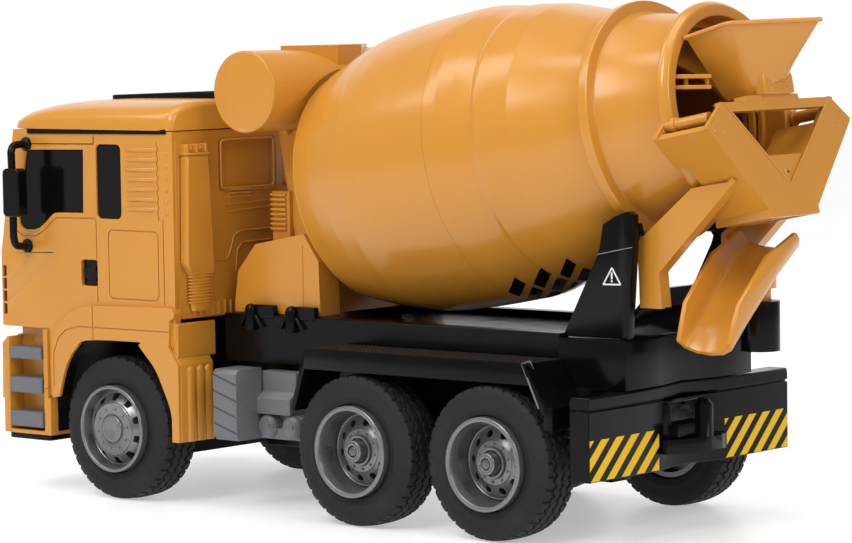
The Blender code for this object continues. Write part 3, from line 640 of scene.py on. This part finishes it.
front_rim_line = [
    (-8, 16.0), (-8, 18.15), (12.1, 18.2), (12.5, 17.9), (12.5, 16.9), (12.1, 16.6), (8.2, 15.6),
    (7.6, 15.2), (7.8, 14.6), (10.9, 11.2), (11.5, 10.9), (11.7, 10.4), (11.5, 10.0), (11.5, 6.3),
    (11.1, 6.1), (11.1, 5.8), (12.0, 5.6), (12.3, 5.2), (12.3, 3.4), (12.1, 3.1), (12.1, 0), (9.0, 0),
    (9.0, 10.2), (6.2, 13.8), (5.6, 16.0)]
windows = []
for _, _, angle in ring_of(10, 13.2, 0.3):
    outline = []
    for radius, offset in ((11.8, -0.105), (11.8, 0.105), (14.75, 0.135), (14.75, -0.135)):
        outline.append((radius * math.cos(angle + offset), radius * math.sin(angle + offset)))
    windows.append(prism(outline, 3, 13.5, SIDE))
front_trim = nuts(10, 8.3, 0.62, 0.7, 11.5) + nuts(14, 4.3, 0.6, 0.55, 12.2, 10)
front_rim = rim_mesh("front_rim", front_rim_line, 0.25, windows, front_trim)

rear_rim_line = [
    (-8, 16.0), (-8, 18.15), (11.6, 18.2), (12.0, 17.9), (12.0, 16.5), (11.7, 16.2), (8.6, 15.2),
    (2.2, 14.9), (1.8, 14.6), (2.6, 14.3), (2.4, 13.9), (1.6, 13.6), (2.2, 13.0), (4.6, 8.9), (5.0, 8.5),
    (5.0, 6.3), (6.4, 6.1), (6.4, 5.0), (4.6, 4.9), (4.6, 4.5), (9.4, 4.4), (10, 4.0), (10, 2.5),
    (9.8, 2.3), (7.0, 2.2), (7.0, 0), (-1.0, 0), (-1.0, 10.5), (-1.6, 16.0)]
holes = [rod(1.45, -4, 8, SIDE, (y, z), 18) for y, z, _ in ring_of(10, 11.2, 0.5)]
rear_trim = nuts(10, 7.4, 0.62, 0.7, 5.0) + nuts(20, 3.3, 0.3, 0.45, 10, 8)
rear_rim = rim_mesh("rear_rim", rear_rim_line, 0.22, holes, rear_trim)

tread = tyre_mesh()
# x, y, the turn at rest in degrees, and the rim
WHEELS = {"front": (55.2, -116.3, 8, front_rim), "middle": (57.2, 17.1, 27, rear_rim),
          "rear": (57.2, 84.5, 15, rear_rim)}
for end, (x, y, degrees, rim) in WHEELS.items():
    spin = Matrix.Rotation(math.radians(degrees), 4, "X")
    for word, side, half_turn in (("left", 1, 0), ("right", -1, math.pi)):
        body = f"front_wheel_{word}" if end == "front" else f"{end}_wheels"
        place = Matrix.Translation(Vector((side * x, y + SHIFT_Y, WHEEL_R)) * MM)
        flip = Matrix.Rotation(half_turn, 4, "Z")
        for kind, data, slot in (("tyre", tread, "tyre_rubber"), ("rim", rim, "rim_silver")):
            own = data.copy()
            own.transform(spin)
            obj = new_object(f"{end}_{kind}_{word}_detail", own)
            obj.matrix_world = place @ flip
            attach(obj, body)
            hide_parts(f"{end}_{kind}_{word}")

# ------------------------------------------------------------------ drum
front_line = [
    (-29.5, 0), (-29.5, 45.2), (-29.3, 47.4), (-28.9, 47.9), (-28.0, 48.0), (-27.5, 48.3), (-18, 51.5),
    (-8.5, 54.2), (-2.0, 55.6), (3.0, 56.9), (13, 58.05), (26, 58.75), (37, 58.95), (49.9, 58.9),
    (50.0, 58.9), (50.0, 58.8), (50.0, 56.9), (26, 56.7), (4, 55), (-8.5, 52), (-26, 46.4), (-27.5, 0)]
front_shell = turned(fillet(front_line, 0.8), DRUM, (0, 0), 144)
piece("drum_front_detail", [front_shell], body="drum", replace=["drum_front_shell"], angle=28)
rear_line = [
    (50.1, 56.9), (50.1, 58.8), (50.1, 58.9), (50.2, 58.9), (52, 58.85), (56, 58.5), (63, 57.1),
    (71.4, 55.0), (73.6, 55.6), (80, 54.4), (87.7, 53.0), (118, 42.9), (118, 46.9), (118.4, 47.2),
    (122.1, 47.2), (122.5, 46.9), (122.5, 42.4), (148.2, 36.2), (149.4, 36.8), (150.6, 40.2), (151.4, 40.8),
    (153.2, 40.6), (155.2, 39.2), (155.4, 38.4), (155.4, 34.9), (154.9, 34.5), (147, 34.2), (121, 40.4),
    (87, 50.8), (71, 53), (56, 56.4)]
rear_shell = turned(fillet(rear_line + rear_line[:1], 0.6)[:-1], DRUM, (0, 0), 144, ring=True)
piece("drum_rear_detail", [rear_shell], body="drum", replace=["drum_rear_shell"], angle=28)


# ------------------------------------------------------------------ small builders for details
def seam(points, face=SIDE_X, width=0.55, depth=0.45, closed=False):
    """Thin cutters along a line on a flat face of the cab's side."""
    ends = list(zip(points, points[1:]))
    if closed:
        ends.append((points[-1], points[0]))
    made = []
    for start, end in ends:
        start = Vector(start)
        end = Vector(end)
        along = (end - start).normalized() * width / 2
        across = Vector((-along.y, along.x))
        outline = [start - along + across, start - along - across, end + along - across,
                   end + along + across]
        made.append(prism([tuple(point) for point in outline], face - depth, face + 4, SIDE))
    return made


def bead(points, face, plane=SIDE, radius=0.45):
    """A raised round line on a flat face."""
    return tube([plane @ Vector((u, v, face)) for u, v in points], radius, 8)


def both(name, shapes, slot="orange", replace=None, add=(), cut=(), **options):
    """The piece on the truck's left and its mirror on the right."""
    for word, side in (("left", list), ("right", mirrored)):
        nodes = [f"{replace}_{word}"] if replace else ()
        piece(f"{name}_{word}", side(shapes), slot, replace=nodes, add=side(add), cut=side(cut), **options)


def screw(radius, base, u, v, plane=SIDE):
    """A domed screw head with a cross recess."""
    head = knob(radius, radius * 0.45, base, u, v, plane)
    slots = []
    for wide, tall in ((radius * 0.55, radius * 0.16), (radius * 0.16, radius * 0.55)):
        outline = [(u - wide, v - tall), (u + wide, v - tall), (u + wide, v + tall), (u - wide, v + tall)]
        slots.append(prism(outline, base + radius * 0.2, base + radius * 2, plane))
    return head, slots


def clipped(outline, low, high):
    """The part of an outline whose first coordinate lies between low and high."""
    for limit, keep in ((low, 1), (high, -1)):
        made = []
        for index, point in enumerate(outline):
            after = outline[(index + 1) % len(outline)]
            inside = (point[0] - limit) * keep >= 0
            if inside:
                made.append(point)
            if inside != ((after[0] - limit) * keep >= 0):
                share = (limit - point[0]) / (after[0] - point[0])
                made.append((limit, point[1] + share * (after[1] - point[1])))
        outline = made
    return outline


def in_drum(x, s, v):
    """A point at s along the drum's axis, x to the left and v up across it."""
    return tuple(DRUM @ Vector((x, v, s)))


def drum_radius(s):
    """The drum's outer radius at a place along its axis."""
    for (low, small), (high, large) in zip(rear_line, rear_line[1:]):
        if low <= s <= high:
            return small + (large - small) * (s - low) / (high - low)
    return 0.0


# ------------------------------------------------------------------ cab
# Outlines on the cab's side are (y, z), with the front of the truck at the low end.
ARCH = [(-82.2, 36), (-83.4, 41), (-87.1, 48.6), (-91.4, 56.2), (-97.1, 62), (-100.7, 65.6), (-101.5, 67),
        (-131, 66.2), (-137.5, 62.8), (-142.4, 57.2), (-145.5, 50.7), (-148.4, 41.5)]
curved_arch = [tuple(point)[:2] for point in smooth_path([(y, z, 0) for y, z in ARCH], 4)]
panel = [(-155.2, 41.5), (-155.2, 70), (-183.5, 70), (-183.5, 101), (-174.5, 154), (-80.5, 154),
         (-80.5, 69), (-82.2, 66)] + curved_arch
flare = curved_arch + [(-152.4, 40.8), (-152.9, 56), (-151.6, 66), (-148.7, 71.8), (-143.7, 76.2),
                       (-136.2, 79.6), (-128.4, 81), (-82.5, 81.9), (-80.4, 81.3), (-79.7, 79.7),
                       (-80.2, 78), (-82.6, 76.5), (-83.4, 65.4), (-78.2, 58.4), (-78.2, 26.6),
                       (-82.2, 26.6)]
door_window = [(-172.2, 117), (-171.8, 114), (-170.2, 112.2), (-168, 111.6), (-162.4, 111.7),
               (-159.4, 112.6), (-156.2, 114.6), (-152, 118.1), (-150.2, 119), (-148, 119.2), (-133, 119.5),
               (-132.4, 146), (-164, 145.5), (-166.4, 145), (-167.4, 143.6)]
quarter_window = rounded((-125, -110.4), (117.4, 148.4), 2.4)
handle_well = rounded((-135, -125.4), (89, 100), 1.2)
grooves = seam([(-173.5, 110.6), (-169.6, 108.9), (-161.8, 109), (-156.4, 111.6), (-151.2, 116),
                (-148.6, 117), (-126.4, 117.4)])
grooves += seam([(-125.6, 116.6), (-125.4, 82.8)])
grooves += seam([(-126.2, 151.4), (-126.2, 148.4), (-166.5, 147.9)], width=0.45)
grooves += seam([(-182.4, 101.6), (-152, 102.2)], width=0.45)
grooves += seam(rounded((-118.4, -89.6), (84.4, 112.8), 2.4), closed=True)
grooves += seam([(-86.6, 117.6), (-86.4, 82.8)])
wavy_line = [(-89.2 + 0.45 * math.sin(step * 1.55), 117.6 + step) for step in range(33)]
grooves += seam(wavy_line, width=0.5)
lamp_slots = [block((62.5, 66), (-182.9, -180.6), (z, z + 4.5)) for z in (75, 80.4, 85.8, 91.2)]
openings = [prism(outline, 55, 70, SIDE) for outline in (door_window, quarter_window, handle_well)]
both("cab_side", [prism(panel, 61.5, SIDE_X, SIDE)], replace="cab_side", bevel=0.4,
     cut=openings + lamp_slots + grooves)
flare_line = [(-151.4, 46), (-151.2, 60), (-148.2, 66.4), (-143.6, 70), (-136, 71.8), (-82.4, 72)]
flare_cuts = seam(flare_line, FENDER_X, width=0.5)
flare_cuts += seam([(-127.6, 83), (-127.2, 66)], FENDER_X, width=0.5)
both("fender", [prism(flare, 61.7, FENDER_X, SIDE)], bevel=1.0, cut=flare_cuts)
tail_side = [(-84, 66), (-83.2, 66), (-78, 58.4), (-78, 26.6), (-82.2, 26.6), (-82.2, 36), (-83.4, 41),
             (-84, 44)]
tail_rear = [(-79.5, 26.6), (-78, 26.6), (-78, 58.4), (-83.2, 66), (-84.7, 66), (-79.5, 58)]
both("mudflap", [prism(tail_side, 57.6, SIDE_X, SIDE)], bevel=0.5, add=[prism(tail_rear, 45.3, 58, SIDE)])
column = turned([(26.6, 0), (26.6, 2.4), (55.2, 2.4), (56.8, 2.0), (57.8, 1.0), (58, 0)], PLAN, (0, 0), 32)
ribs = []
for x in (58.4, 52.9, 47.9):
    ribs.append(moved(column, Matrix.Translation((x, -78.2, 0)) @ Matrix.Diagonal((1, 0.5, 1, 1))))
both("mudflap_ribs", ribs, angle=50)
both("cab_corner", [block((41.5, 64.3), (-82.4, -79.8), (61, 75.4))], bevel=0.6)
ridges = []
for step in range(7):
    z = 122 + 4.08 * step
    path = [(63.7, -107.4, z), (64.35, -105.8, z), (64.35, -92.2, z), (63.7, -90.6, z)]
    ridges.append(tube(path, 1.0, 12))
for step in range(6):
    ridges.append(knob(0.95, 0.5, SIDE_X, -84.2, 120.4 + 4.9 * step))
both("cab_side_ridges", ridges, angle=50)
both("door_trim_pin", [knob(1.2, 0.8, 65.6, -156.6, 45.4)])
liner = strip([(-86, 49.5), (-96, 63.6), (-100, 68.2), (-131.8, 67.6), (-138.8, 64), (-144, 57.4),
               (-147, 50.4), (-153.4, 41), (-153.8, 26)], 0.8)
liner_edge = strip([(-81.9, 27), (-82.4, 36), (-86, 49.5)], 0.8)
both("wheel_arch_liner", [prism(liner, 31.4, 61.4, SIDE), prism(liner_edge, 58.4, 61.4, SIDE)],
     "black_satin")
arch_lip = strip([point for point in curved_arch if point[1] > 62 or point[0] < -131], -0.6)
both("wheel_arch_lip", [prism(arch_lip, 60, 64.6, SIDE)], "black_satin")
pane = [prism(door_window, 60.4, 63.7, SIDE), prism(quarter_window, 60.4, 63.8, SIDE)]
handle = [block((60.2, 62.9), (-134.9, -125.5), (89.1, 99.9)),
          prism([(-134, 96.6), (-127, 97.6), (-126, 94.4), (-127, 91.2), (-134, 92)], 61, 64.1, SIDE)]
both("side_window", pane + handle, "window_black", replace="side_window", bevel=0.35)
roof_strip = [(-165.6, 152.2), (-83.8, 152.9), (-83.8, 155), (-165.6, 154.3)]
both("roof_strip", [prism(roof_strip, 62, 65.1, SIDE)], "black_gloss", bevel=0.25)
both("corner_lamp", [block((61.6, 63.4), (-183.2, -180.2), (73, 98))], material=LAMP, bevel=0.2)
roof_line = [  # y, half the width and the height of the roof there
    (-177.2, 57.5, 0.7), (-176.4, 60.4, 3.4), (-174, 62.4, 6.2), (-169, 63.9, 8.5), (-160, 64.8, 10.4),
    (-148, 65.1, 11.6), (-130, 65.2, 12.2), (-105, 65.2, 12.4), (-86, 65.1, 12.4), (-82.4, 64.7, 12),
    (-80.9, 63.9, 10.8), (-80.5, 63, 9.6)]
roof_sections = []
for y, half, tall in roof_line:
    section = []
    for step in range(25):
        angle = math.pi * step / 24
        across = math.copysign(abs(math.cos(angle)) ** 0.32, math.cos(angle))
        section.append((half * across, y, 154.4 + tall * math.sin(angle) ** 0.62))
    roof_sections.append(section)
hollow_line = [(60, 150), (60, 157), (50, 160.2), (-50, 160.2), (-60, 157), (-60, 150)]
roof_hollow = prism(hollow_line, -163, -83, BACK)
piece("cab_roof", [loft(roof_sections)], replace=["cab_roof"], cut=[roof_hollow], angle=45)
HATCH_SLOPE = 0.032
sloped = basis((1, 0, 0), (0, 1, HATCH_SLOPE), (0, 0, 1), (0, 0, 164.9 + 147.5 * HATCH_SLOPE))
hatch = moved(prism(rounded((-34, 34), (-147.5, -83.5), 4), 0, 2.9), sloped)
piece("roof_hatch", [hatch], "black_gloss", bevel=0.5)
RAISED_Y = CAB_REAR_Y + 0.05  # where the raised lines on the cab's rear wall are centred
rear_lines = [
    [(62.5, 100.3), (46, 100.2)],
    [(41.3, 100.1), (34.6, 99.7), (32, 101), (30.2, 105), (28.6, 109.6), (25, 111.3), (-6, 111.7)],
    [(33.6, 119.6), (7.3, 120.7), (-30, 121)],
    [(33.4, 122.6), (6, 123.4), (-30, 123.6)],
    [(27.6, 95), (26.6, 103.6), (23.4, 106.5), (-6, 107)],
    [(61, 77.4), (28, 77.6)],
    [(62.6, 153.2), (62.6, 104)],
    [(44.6, 150), (44, 104)]]
raised = [bead(line, RAISED_Y, BACK, 0.4) for line in rear_lines]
for ends in ((-35.6, -3.5), (3.5, 35.6)):
    line = rounded(ends, (129.4, 149.6), 2)
    raised.append(bead(line + line[:1], RAISED_Y, BACK, 0.5))
piece("cab_rear_lines", raised, angle=60)
vents = [block((18.8, 30.4), (-81.4, -80.2), (125.4 + 1.5 * step, 126.2 + 1.5 * step)) for step in range(3)]
vents += [block((x, x + 1.0), (-81.4, -80.0), (77.8, 83.2))
          for x in (52.4, 48.8, 45.2, 41.6, 38, 34.4, 30.8)]
piece("cab_rear_vents", vents, bevel=0.25)
intake = loft([[(43, -81, 94.2), (57, -81, 94.2), (57, -78, 94.2), (43, -78, 94.2)],
               [(44.4, -81, 99.8), (61, -81, 99.8), (61, -76.5, 99.8), (44.4, -76.5, 99.8)],
               [(47, -81, 144.4), (60, -81, 144.4), (60, -76.5, 144.4), (47, -76.5, 144.4)]])
piece("snorkel_body", [intake], bevel=1.0)
cap = [block((46.8, 60.4), (-81.2, -76.2), (144.2, 145.2)), block((47.2, 60), (-81.2, -77.6), (145, 148.6))]
cap += [block((x, x + 1.5), (-81, -76.6), (145, 148.8)) for x in (47.4, 52.8, 58.2)]
cap += [screw(0.95, -77.4, x, 146.9, BACK)[0] for x in (50.8, 56.6)]
piece("snorkel_cap", cap, bevel=0.3)
hose = [(80, 0), (80, 2.6)]
for step in range(9):
    z = 83 + 1.32 * step
    hose += [(z, 3.0), (z + 0.35, 3.6), (z + 0.8, 3.6), (z + 1.15, 3.0)]
hose += [(95.4, 2.6), (95.4, 0)]
stretch = Matrix.Translation((50.4, -79.6, 0)) @ Matrix.Diagonal((2, 0.62, 1, 1))
piece("snorkel_hose", [moved(turned(hose, PLAN, (0, 0), 40), stretch)])
wall = block((-61.2, 61.2), (-83.5, CAB_REAR_Y), (76.8, 154))
wells = [prism(rounded(ends, (128, 150), 2), -81.8, -79, BACK) for ends in ((-36.6, -2.5), (2.5, 36.6))]
piece("cab_rear_wall", [wall], replace=["cab_rear_wall"], bevel=0.5, cut=wells)

grille = [block((-41.7, 41.7), (-186.5, -185.5), (76.2 + 5 * step, 77.8 + 5 * step)) for step in range(4)]
grille.append(block((-21.7, 21.7), (-184.4, -182.8), (30.3, 39.7)))
piece("grille_slots", grille, "black_satin")
both("headlamp_lens", [block((28.7, 45.3), (-185.9, -184.6), (42.7, 55.3))], material=PANE, bevel=0.3)
both("headlamp_glass", [knob(3.6, 1.4, 185.4, x, 49, FRONT, 28) for x in (33, 41)], material=LENS)

# ------------------------------------------------------------------ mirrors and steps
arm = smooth_path([(64.2, -166.5, 147.8), (69, -166.5, 147.8), (72.4, -166.2, 147.2), (74.1, -165.8, 144.8),
                   (74.2, -165.6, 141), (74.2, -165.4, 128), (74.2, -165.4, 113), (74, -165.5, 108.6),
                   (72.4, -165.9, 105.6), (69, -166.6, 104.7), (64.2, -167, 104.6)], 6)
arm_bases = [knob(3.0, 2.0, 64.9, -166.5, 147.8), knob(3.0, 2.0, 64.9, -167, 104.6)]
both("mirror", [tube(arm, 1.65, 20)] + arm_bases, "black_gloss", replace="mirror", angle=50)
both("mirror_housing", [prism(rounded((-168.4, -158.8), (117.6, 138), 2.2), 71.8, 77.3, SIDE),
                        block((71.4, 72.6), (-167, -160), (119.4, 136.2))], "black_gloss", bevel=0.9)
GRIP_PITCH = 1.25
grips = []
for low, high in ((56.5, 61.5), (42, 48.5), (27.5, 34)):
    for step in range(int((high - low - 0.6) / GRIP_PITCH)):
        z = low + GRIP_PITCH * step
        grips.append(block((64.8, 66.45), (-178, -158.8), (z + 0.5, z + 1.1)))
both("step_back", [block((57.05, 57.8), (-178.9, -157.6), (27, 73.2))], bevel=0.2)
both("bumper_lip", [prism(rounded((48, 64.6), (-181.4, -156), 2), 21.8, 24.8)], "black_gloss", bevel=0.6)
both("servo_cover", [block((31, 33.4), (-84, -60.2), (40, 62))], "black_gloss", bevel=0.4)
both("step_grips", grips, "grey", bevel=0.15)

# ------------------------------------------------------------------ tank and drum drive
end_line = [(49.4, 0.6), (50.0, 0.2), (50.25, 0.9), (50.0, 1.5), (49.2, 1.6)]
end_beads = []
for side in (1, -1):
    line = [(side * along, TANK_R - inset) for along, inset in end_line]
    end_beads.append(turned(line, SIDE, (TANK_Y, TANK_Z), 96, ring=True))
piece("tank_end_beads", end_beads)
room_line = [(-32, 0), (-32, 49.4), (-28, 49.8), (-8.5, 56), (4, 59), (20, 60.5), (20, 0)]
drum_room = turned(room_line, DRUM, (0, 0), 96)
tank_line = fillet([(-50, 0), (-50, TANK_R), (50, TANK_R), (50, 0)], 1.0, 4)
tank = turned(tank_line, SIDE, (TANK_Y, TANK_Z), 112)
piece("water_tank", [tank], replace=["water_tank"], cut=[drum_room], angle=30)
filler = prism([(27, -54), (7.4, -40.1), (-7.4, -40.1), (-27, -54)], 172, 188.3)
piece("tank_filler", [filler], bevel=0.7, cut=[drum_room])
lugs = []
for side in (1, -1):
    for step in range(8):
        z = 112.6 + 2 * step
        lugs.append(block(sorted((side * 24, side * 28.6)), (-59.9, -51.5), (z, z + 1.0)))
piece("tower_ribs", lugs, bevel=0.2)
piece("tank_boss", [knob(2.4, 1.0, -50.6, 27, 154, BACK, 24)])
both("pedestal_edge", [bead([(-35.6, 79), (-35.6, 107.4)], 36, SIDE, 0.3)])

# ------------------------------------------------------------------ frame, walkway and side tanks
posts = []
post_line = [(72, 0), (72, 2.6), (80, 2.6), (81.6, 2.3), (82.6, 1.5), (83, 0)]
for y in (-60.5, -38):
    posts.append(turned(post_line, PLAN, (40.6, y), 24))
    posts.append(prism(rounded((y + 1, y + 12.2), (77, 82.6), 0.8), 37.5, 40.4, SIDE))
    for side in (-1, 1):
        foot = [(y + side * 2, 78.4), (y + side * 3.4, 78.4), (y + side * 7.4, 73.6),
                (y + side * 5.2, 73.2)]
        posts.append(prism(foot, 39.8, 41.6, SIDE))
both("rail_posts", posts, "black_gloss", bevel=0.3)
rail = [(34, 58.7), (40, 58.7), (40, 78.5), (34, 78.5), (34, 76.5), (37.8, 76.5), (37.8, 60.7), (34, 60.7)]
both("frame_rail", [prism(rail, -76, 99.7, BACK), block((31, 33.2), (-60, 57), (26.8, 61)),
                    block((31, 35), (-60, 57), (58.7, 61))], "black_gloss", replace="frame_rail", bevel=0.4)
both("walkway_mesh", [block((41.8, 62.4), (-8.6, 101.6), (68.3, 69.05))], "black_satin", material=MESH)
# Grey tubes along the mudguard's slanted edges: painted highlights where those edges catch the light.
outer = (64.7, 101, 68.9)
inner = (60.2, 101.3, 69.6)
highlight_paths = ([outer, (64.7, 108.9, 52.5)], [inner, (60.2, 110.1, 53.2)], [outer, inner])
both("mudguard_edge_highlights", [tube(path, 0.35, 8) for path in highlight_paths], "black_gloss", material=EDGE_HIGHLIGHT)
bottle_line = [(38, 0), (38, 4.6), (44.2, 4.75), (44.4, 4.95), (44.9, 4.95), (45.1, 4.75), (46.4, 4.6),
               (48.2, 3.9), (49.4, 2.7), (50, 1.4), (50.2, 0)]
bottles = []
for y in (-45.4, -32.4):
    bottles.append(turned(bottle_line, SIDE, (y, 34.0), 40))
    bottles.append(knob(0.7, 0.7, 50, y + 2.2, 34.6))
bottles.append(tube([(49.4, -42.6, 33.6), (50.4, -39, 33.2), (49.4, -34, 33.6)], 0.25, 8))
both("air_tanks", bottles, "grey", angle=40)

# ------------------------------------------------------------------ rear tower, block, bumper and hitch
sign = []
corners = [(123.8, 104.3), (119.6, 97.9), (127.8, 98.1)]
for start, end in zip(corners, corners[1:] + corners[:1]):
    sign.append(bead([start, end], 38.05, SIDE, 0.32))
sign += [block((37.9, 38.25), (123.4, 124.1), z) for z in ((100, 102.6), (98.9, 99.6))]
both("warning_triangle", sign, "gear_white", material=MARK)
# A grey line along the tower's fold: a painted highlight on that edge.
both("tower_fold_highlight", [bead([(117.2, 109.2), (133.6, 112.4)], 38.3, SIDE, 0.22)], "black_gloss", material=EDGE_HIGHLIGHT)
STRIPE_PITCH = 9.4
STRIPE_WIDTH = 4.9
STRIPE_LEAN = 16
stripes = []
for low, high in ((21.6, 64.6), (-64.6, -21.6)):
    for step in range(8):
        foot = low + STRIPE_PITCH * step
        head = foot - STRIPE_LEAN
        outline = [(foot, 26.4), (foot + STRIPE_WIDTH, 26.4), (head + STRIPE_WIDTH, 41.8), (head, 41.8)]
        outline = clipped(outline, low, high)
        if len(outline) > 2:
            stripes.append(prism(outline, 132.6, 132.85, BACK))
piece("hazard_stripes", stripes, material=YELLOW)
bumper_line = [(65, 123.6), (65, 132.7), (19, 132.7), (0, 128), (-19, 132.7), (-65, 132.7), (-65, 123.6)]
groove_line = [(65.6, 122), (65.6, 133.3), (19, 133.3), (0, 128.6), (-19, 133.3), (-65.6, 133.3),
               (-65.6, 122)]
piece("rear_bumper", [prism(strip(bumper_line, -3.2), 26, 56.5)], "black_gloss", replace=["rear_bumper"],
      bevel=0.9, cut=[block((-11, 18), (118, 140), (38, 51)), prism(strip(groove_line, -1.2), 52.5, 53.2)])
piece("rear_bumper_top", [prism(bumper_line, 55.6, 57.9), block((-30, 30), (112, 127), (50, 57.6))],
      "black_gloss", bevel=0.7)

# ------------------------------------------------------------------ collector, hopper and mouth
HOPPER_Y = 163
rim_line = smooth_path([(25, 148.9, 191.4), (25, 160, 194.4), (24.4, 168, 196.6), (20, 173, 196.9),
                        (10, 183, 197.3), (0, 193.5, 197.6)], 5)
base_line = smooth_path([(10, 156.4, 167.4), (10, 160.5, 167.1), (9.8, 166, 168), (8.4, 170.4, 170),
                         (4.5, 173.8, 172.6), (0, 177, 175.3)], 5)


def both_halves(line, inset=0.0, lift=0.0):
    """A closed ring of points from the near half of a hopper section, drawn in by an inset."""
    near = []
    for point in line:
        outward = Vector((point.x, point.y - HOPPER_Y, 0)).normalized()
        near.append(point - outward * inset + Vector((0, 0, lift)))
    return near + [Vector((-point.x, point.y, point.z)) for point in reversed(near[:-1])]


funnel = loft([both_halves(base_line), both_halves(rim_line)])
throat_lines = ((base_line, -1), (rim_line, 0.1), (rim_line, 6))
throat = loft([both_halves(line, 1.5, lift) for line, lift in throat_lines])
piece("filling_funnel", [funnel], replace=["filling_hopper"], cut=[throat], angle=40)
lip_path = both_halves(rim_line, 0.3, -0.9)
piece("funnel_rim", [tube(lip_path + lip_path[:1], 0.85, 10)], angle=50)
crown = [(9.5, 0.6), (9.5, 7), (8.2, 9.4), (5.8, 9.4), (3.4, 7.8), (0, 7.2), (-3.4, 7.8), (-5.8, 9.4),
         (-8.2, 9.4), (-9.5, 7), (-9.5, 0.6)]
bumps = [knob(0.9, 0.5, 178.1, x, v, DRUM, 16) for x, v in ((-5, 2.6), (5, 2.6), (0, 4.6))]
piece("hopper_saddle", [prism(crown, 173.6, 178.2, DRUM)], bevel=0.4)
piece("saddle_bumps", bumps)
clip_line = strip([(31.5, 144.2), (27.4, 150.4), (21.4, 158.6)], 2.6)
clip = [prism(clip_line, low, low + 1.6) for low in (171.4, 175.4)]
for x, y in ((29.8, 146.2), (26.8, 150.8), (22.2, 157.2)):
    clip.append(block((x - 0.7, x + 0.7), (y - 0.7, y + 0.7), (172, 176)))
piece("mouth_clip", clip, bevel=0.3)
folds = [bead([(33.2, -2.6), (1.2, -32.4)], 176.1, DRUM, 0.35)]
trim = folds + mirrored(folds)
for x, v in ((40.4, -8.6), (37.6, -12.2), (42.6, -11.8)):
    trim += [knob(0.7, 0.45, 176, side * x, v, DRUM, 16) for side in (1, -1)]
head, slots = screw(2.0, 175.2, 0, -28.8, DRUM)
piece("collector_screw", [head], cut=slots)
for side in (1, -1):
    line = strip([(side * 34.6, -1.9), (side * 46.6, -10.9)], -side)
    trim += [prism(line, low, high, DRUM) for low, high in ((150.9, 152.6), (174.4, 175.9))]
pin_line = [(151.5, 0), (151.5, 2.4), (155.2, 2.4), (155.4, 3.1), (157, 3.1), (157.2, 2.4), (172, 2.4),
            (172, 0)]
trim += [turned(pin_line, DRUM, (side * 38.6, -6.4), 28) for side in (1, -1)]
trim.append(prism([(-15, -1.6), (20, -1.6), (19.4, 0.6), (-14.4, 0.6)], 170.4, 175.8, DRUM))
piece("collector_trim", trim, angle=40)
rings = []
for radius, low, high in ((34.6, 137, 139), (33.4, 140.4, 142.8), (34.4, 144.2, 146)):
    inside = radius - 2.4
    line = [(low, radius), (high, radius), (high, inside), (low, inside)]
    rings.append(turned(line, DRUM, (0, 0), 96, ring=True))
blades = []
for start in (0, 180):
    turnings = []
    for step in range(26):
        angle = math.radians(start + 14 * step)
        s = 30 + 4.3 * step
        reach = 50 - max(0, s - 50) * 0.16
        corners = ((reach, -0.8), (reach - 13, -0.8), (reach - 13, 0.8), (reach, 0.8))
        turnings.append([in_drum(r * math.cos(angle), s + lift, r * math.sin(angle)) for r, lift in corners])
    blades.append(loft(turnings))
piece("mouth_rings", rings, body="drum", angle=40)
piece("drum_blades", blades, body="drum", angle=40)
head, slots = screw(2.3, 0, 0, 0, PLAN)
outward = Matrix.Translation((57.4, 48.4, 139.2)) @ Matrix.Rotation(math.radians(86.5), 4, "Y")
slots = [moved(slot, outward) for slot in slots]
piece("drum_screw", [moved(head, outward)], "steel", body="drum", cut=slots)

GRAPHIC_LEAN = 4.5  # degrees, as are the halves below
ROWS = 12
WIDE = 5
diamonds = []
for index in range(7):
    for low, high, half in ((50, 61, 3.4), (63, 74, 3.4), (76, 86, 3.2)):
        points = []
        for row in range(ROWS + 1):
            share = row / ROWS
            s = low + (high - low) * share
            radius = drum_radius(s) + 0.09
            middle = -134 + 11 * index + GRAPHIC_LEAN * (share - 0.5) * 2
            for column in range(WIDE):
                angle = math.radians(middle + half * (column / 2 - 1))
                points.append(in_drum(radius * math.cos(angle), s, radius * math.sin(angle)))
        starts = [WIDE * row + column for row in range(ROWS) for column in range(WIDE - 1)]
        diamonds.append((points, [(first, first + 1, first + 1 + WIDE, first + WIDE) for first in starts]))
piece("drum_graphic", diamonds, "black_gloss", body="drum", angle=60)
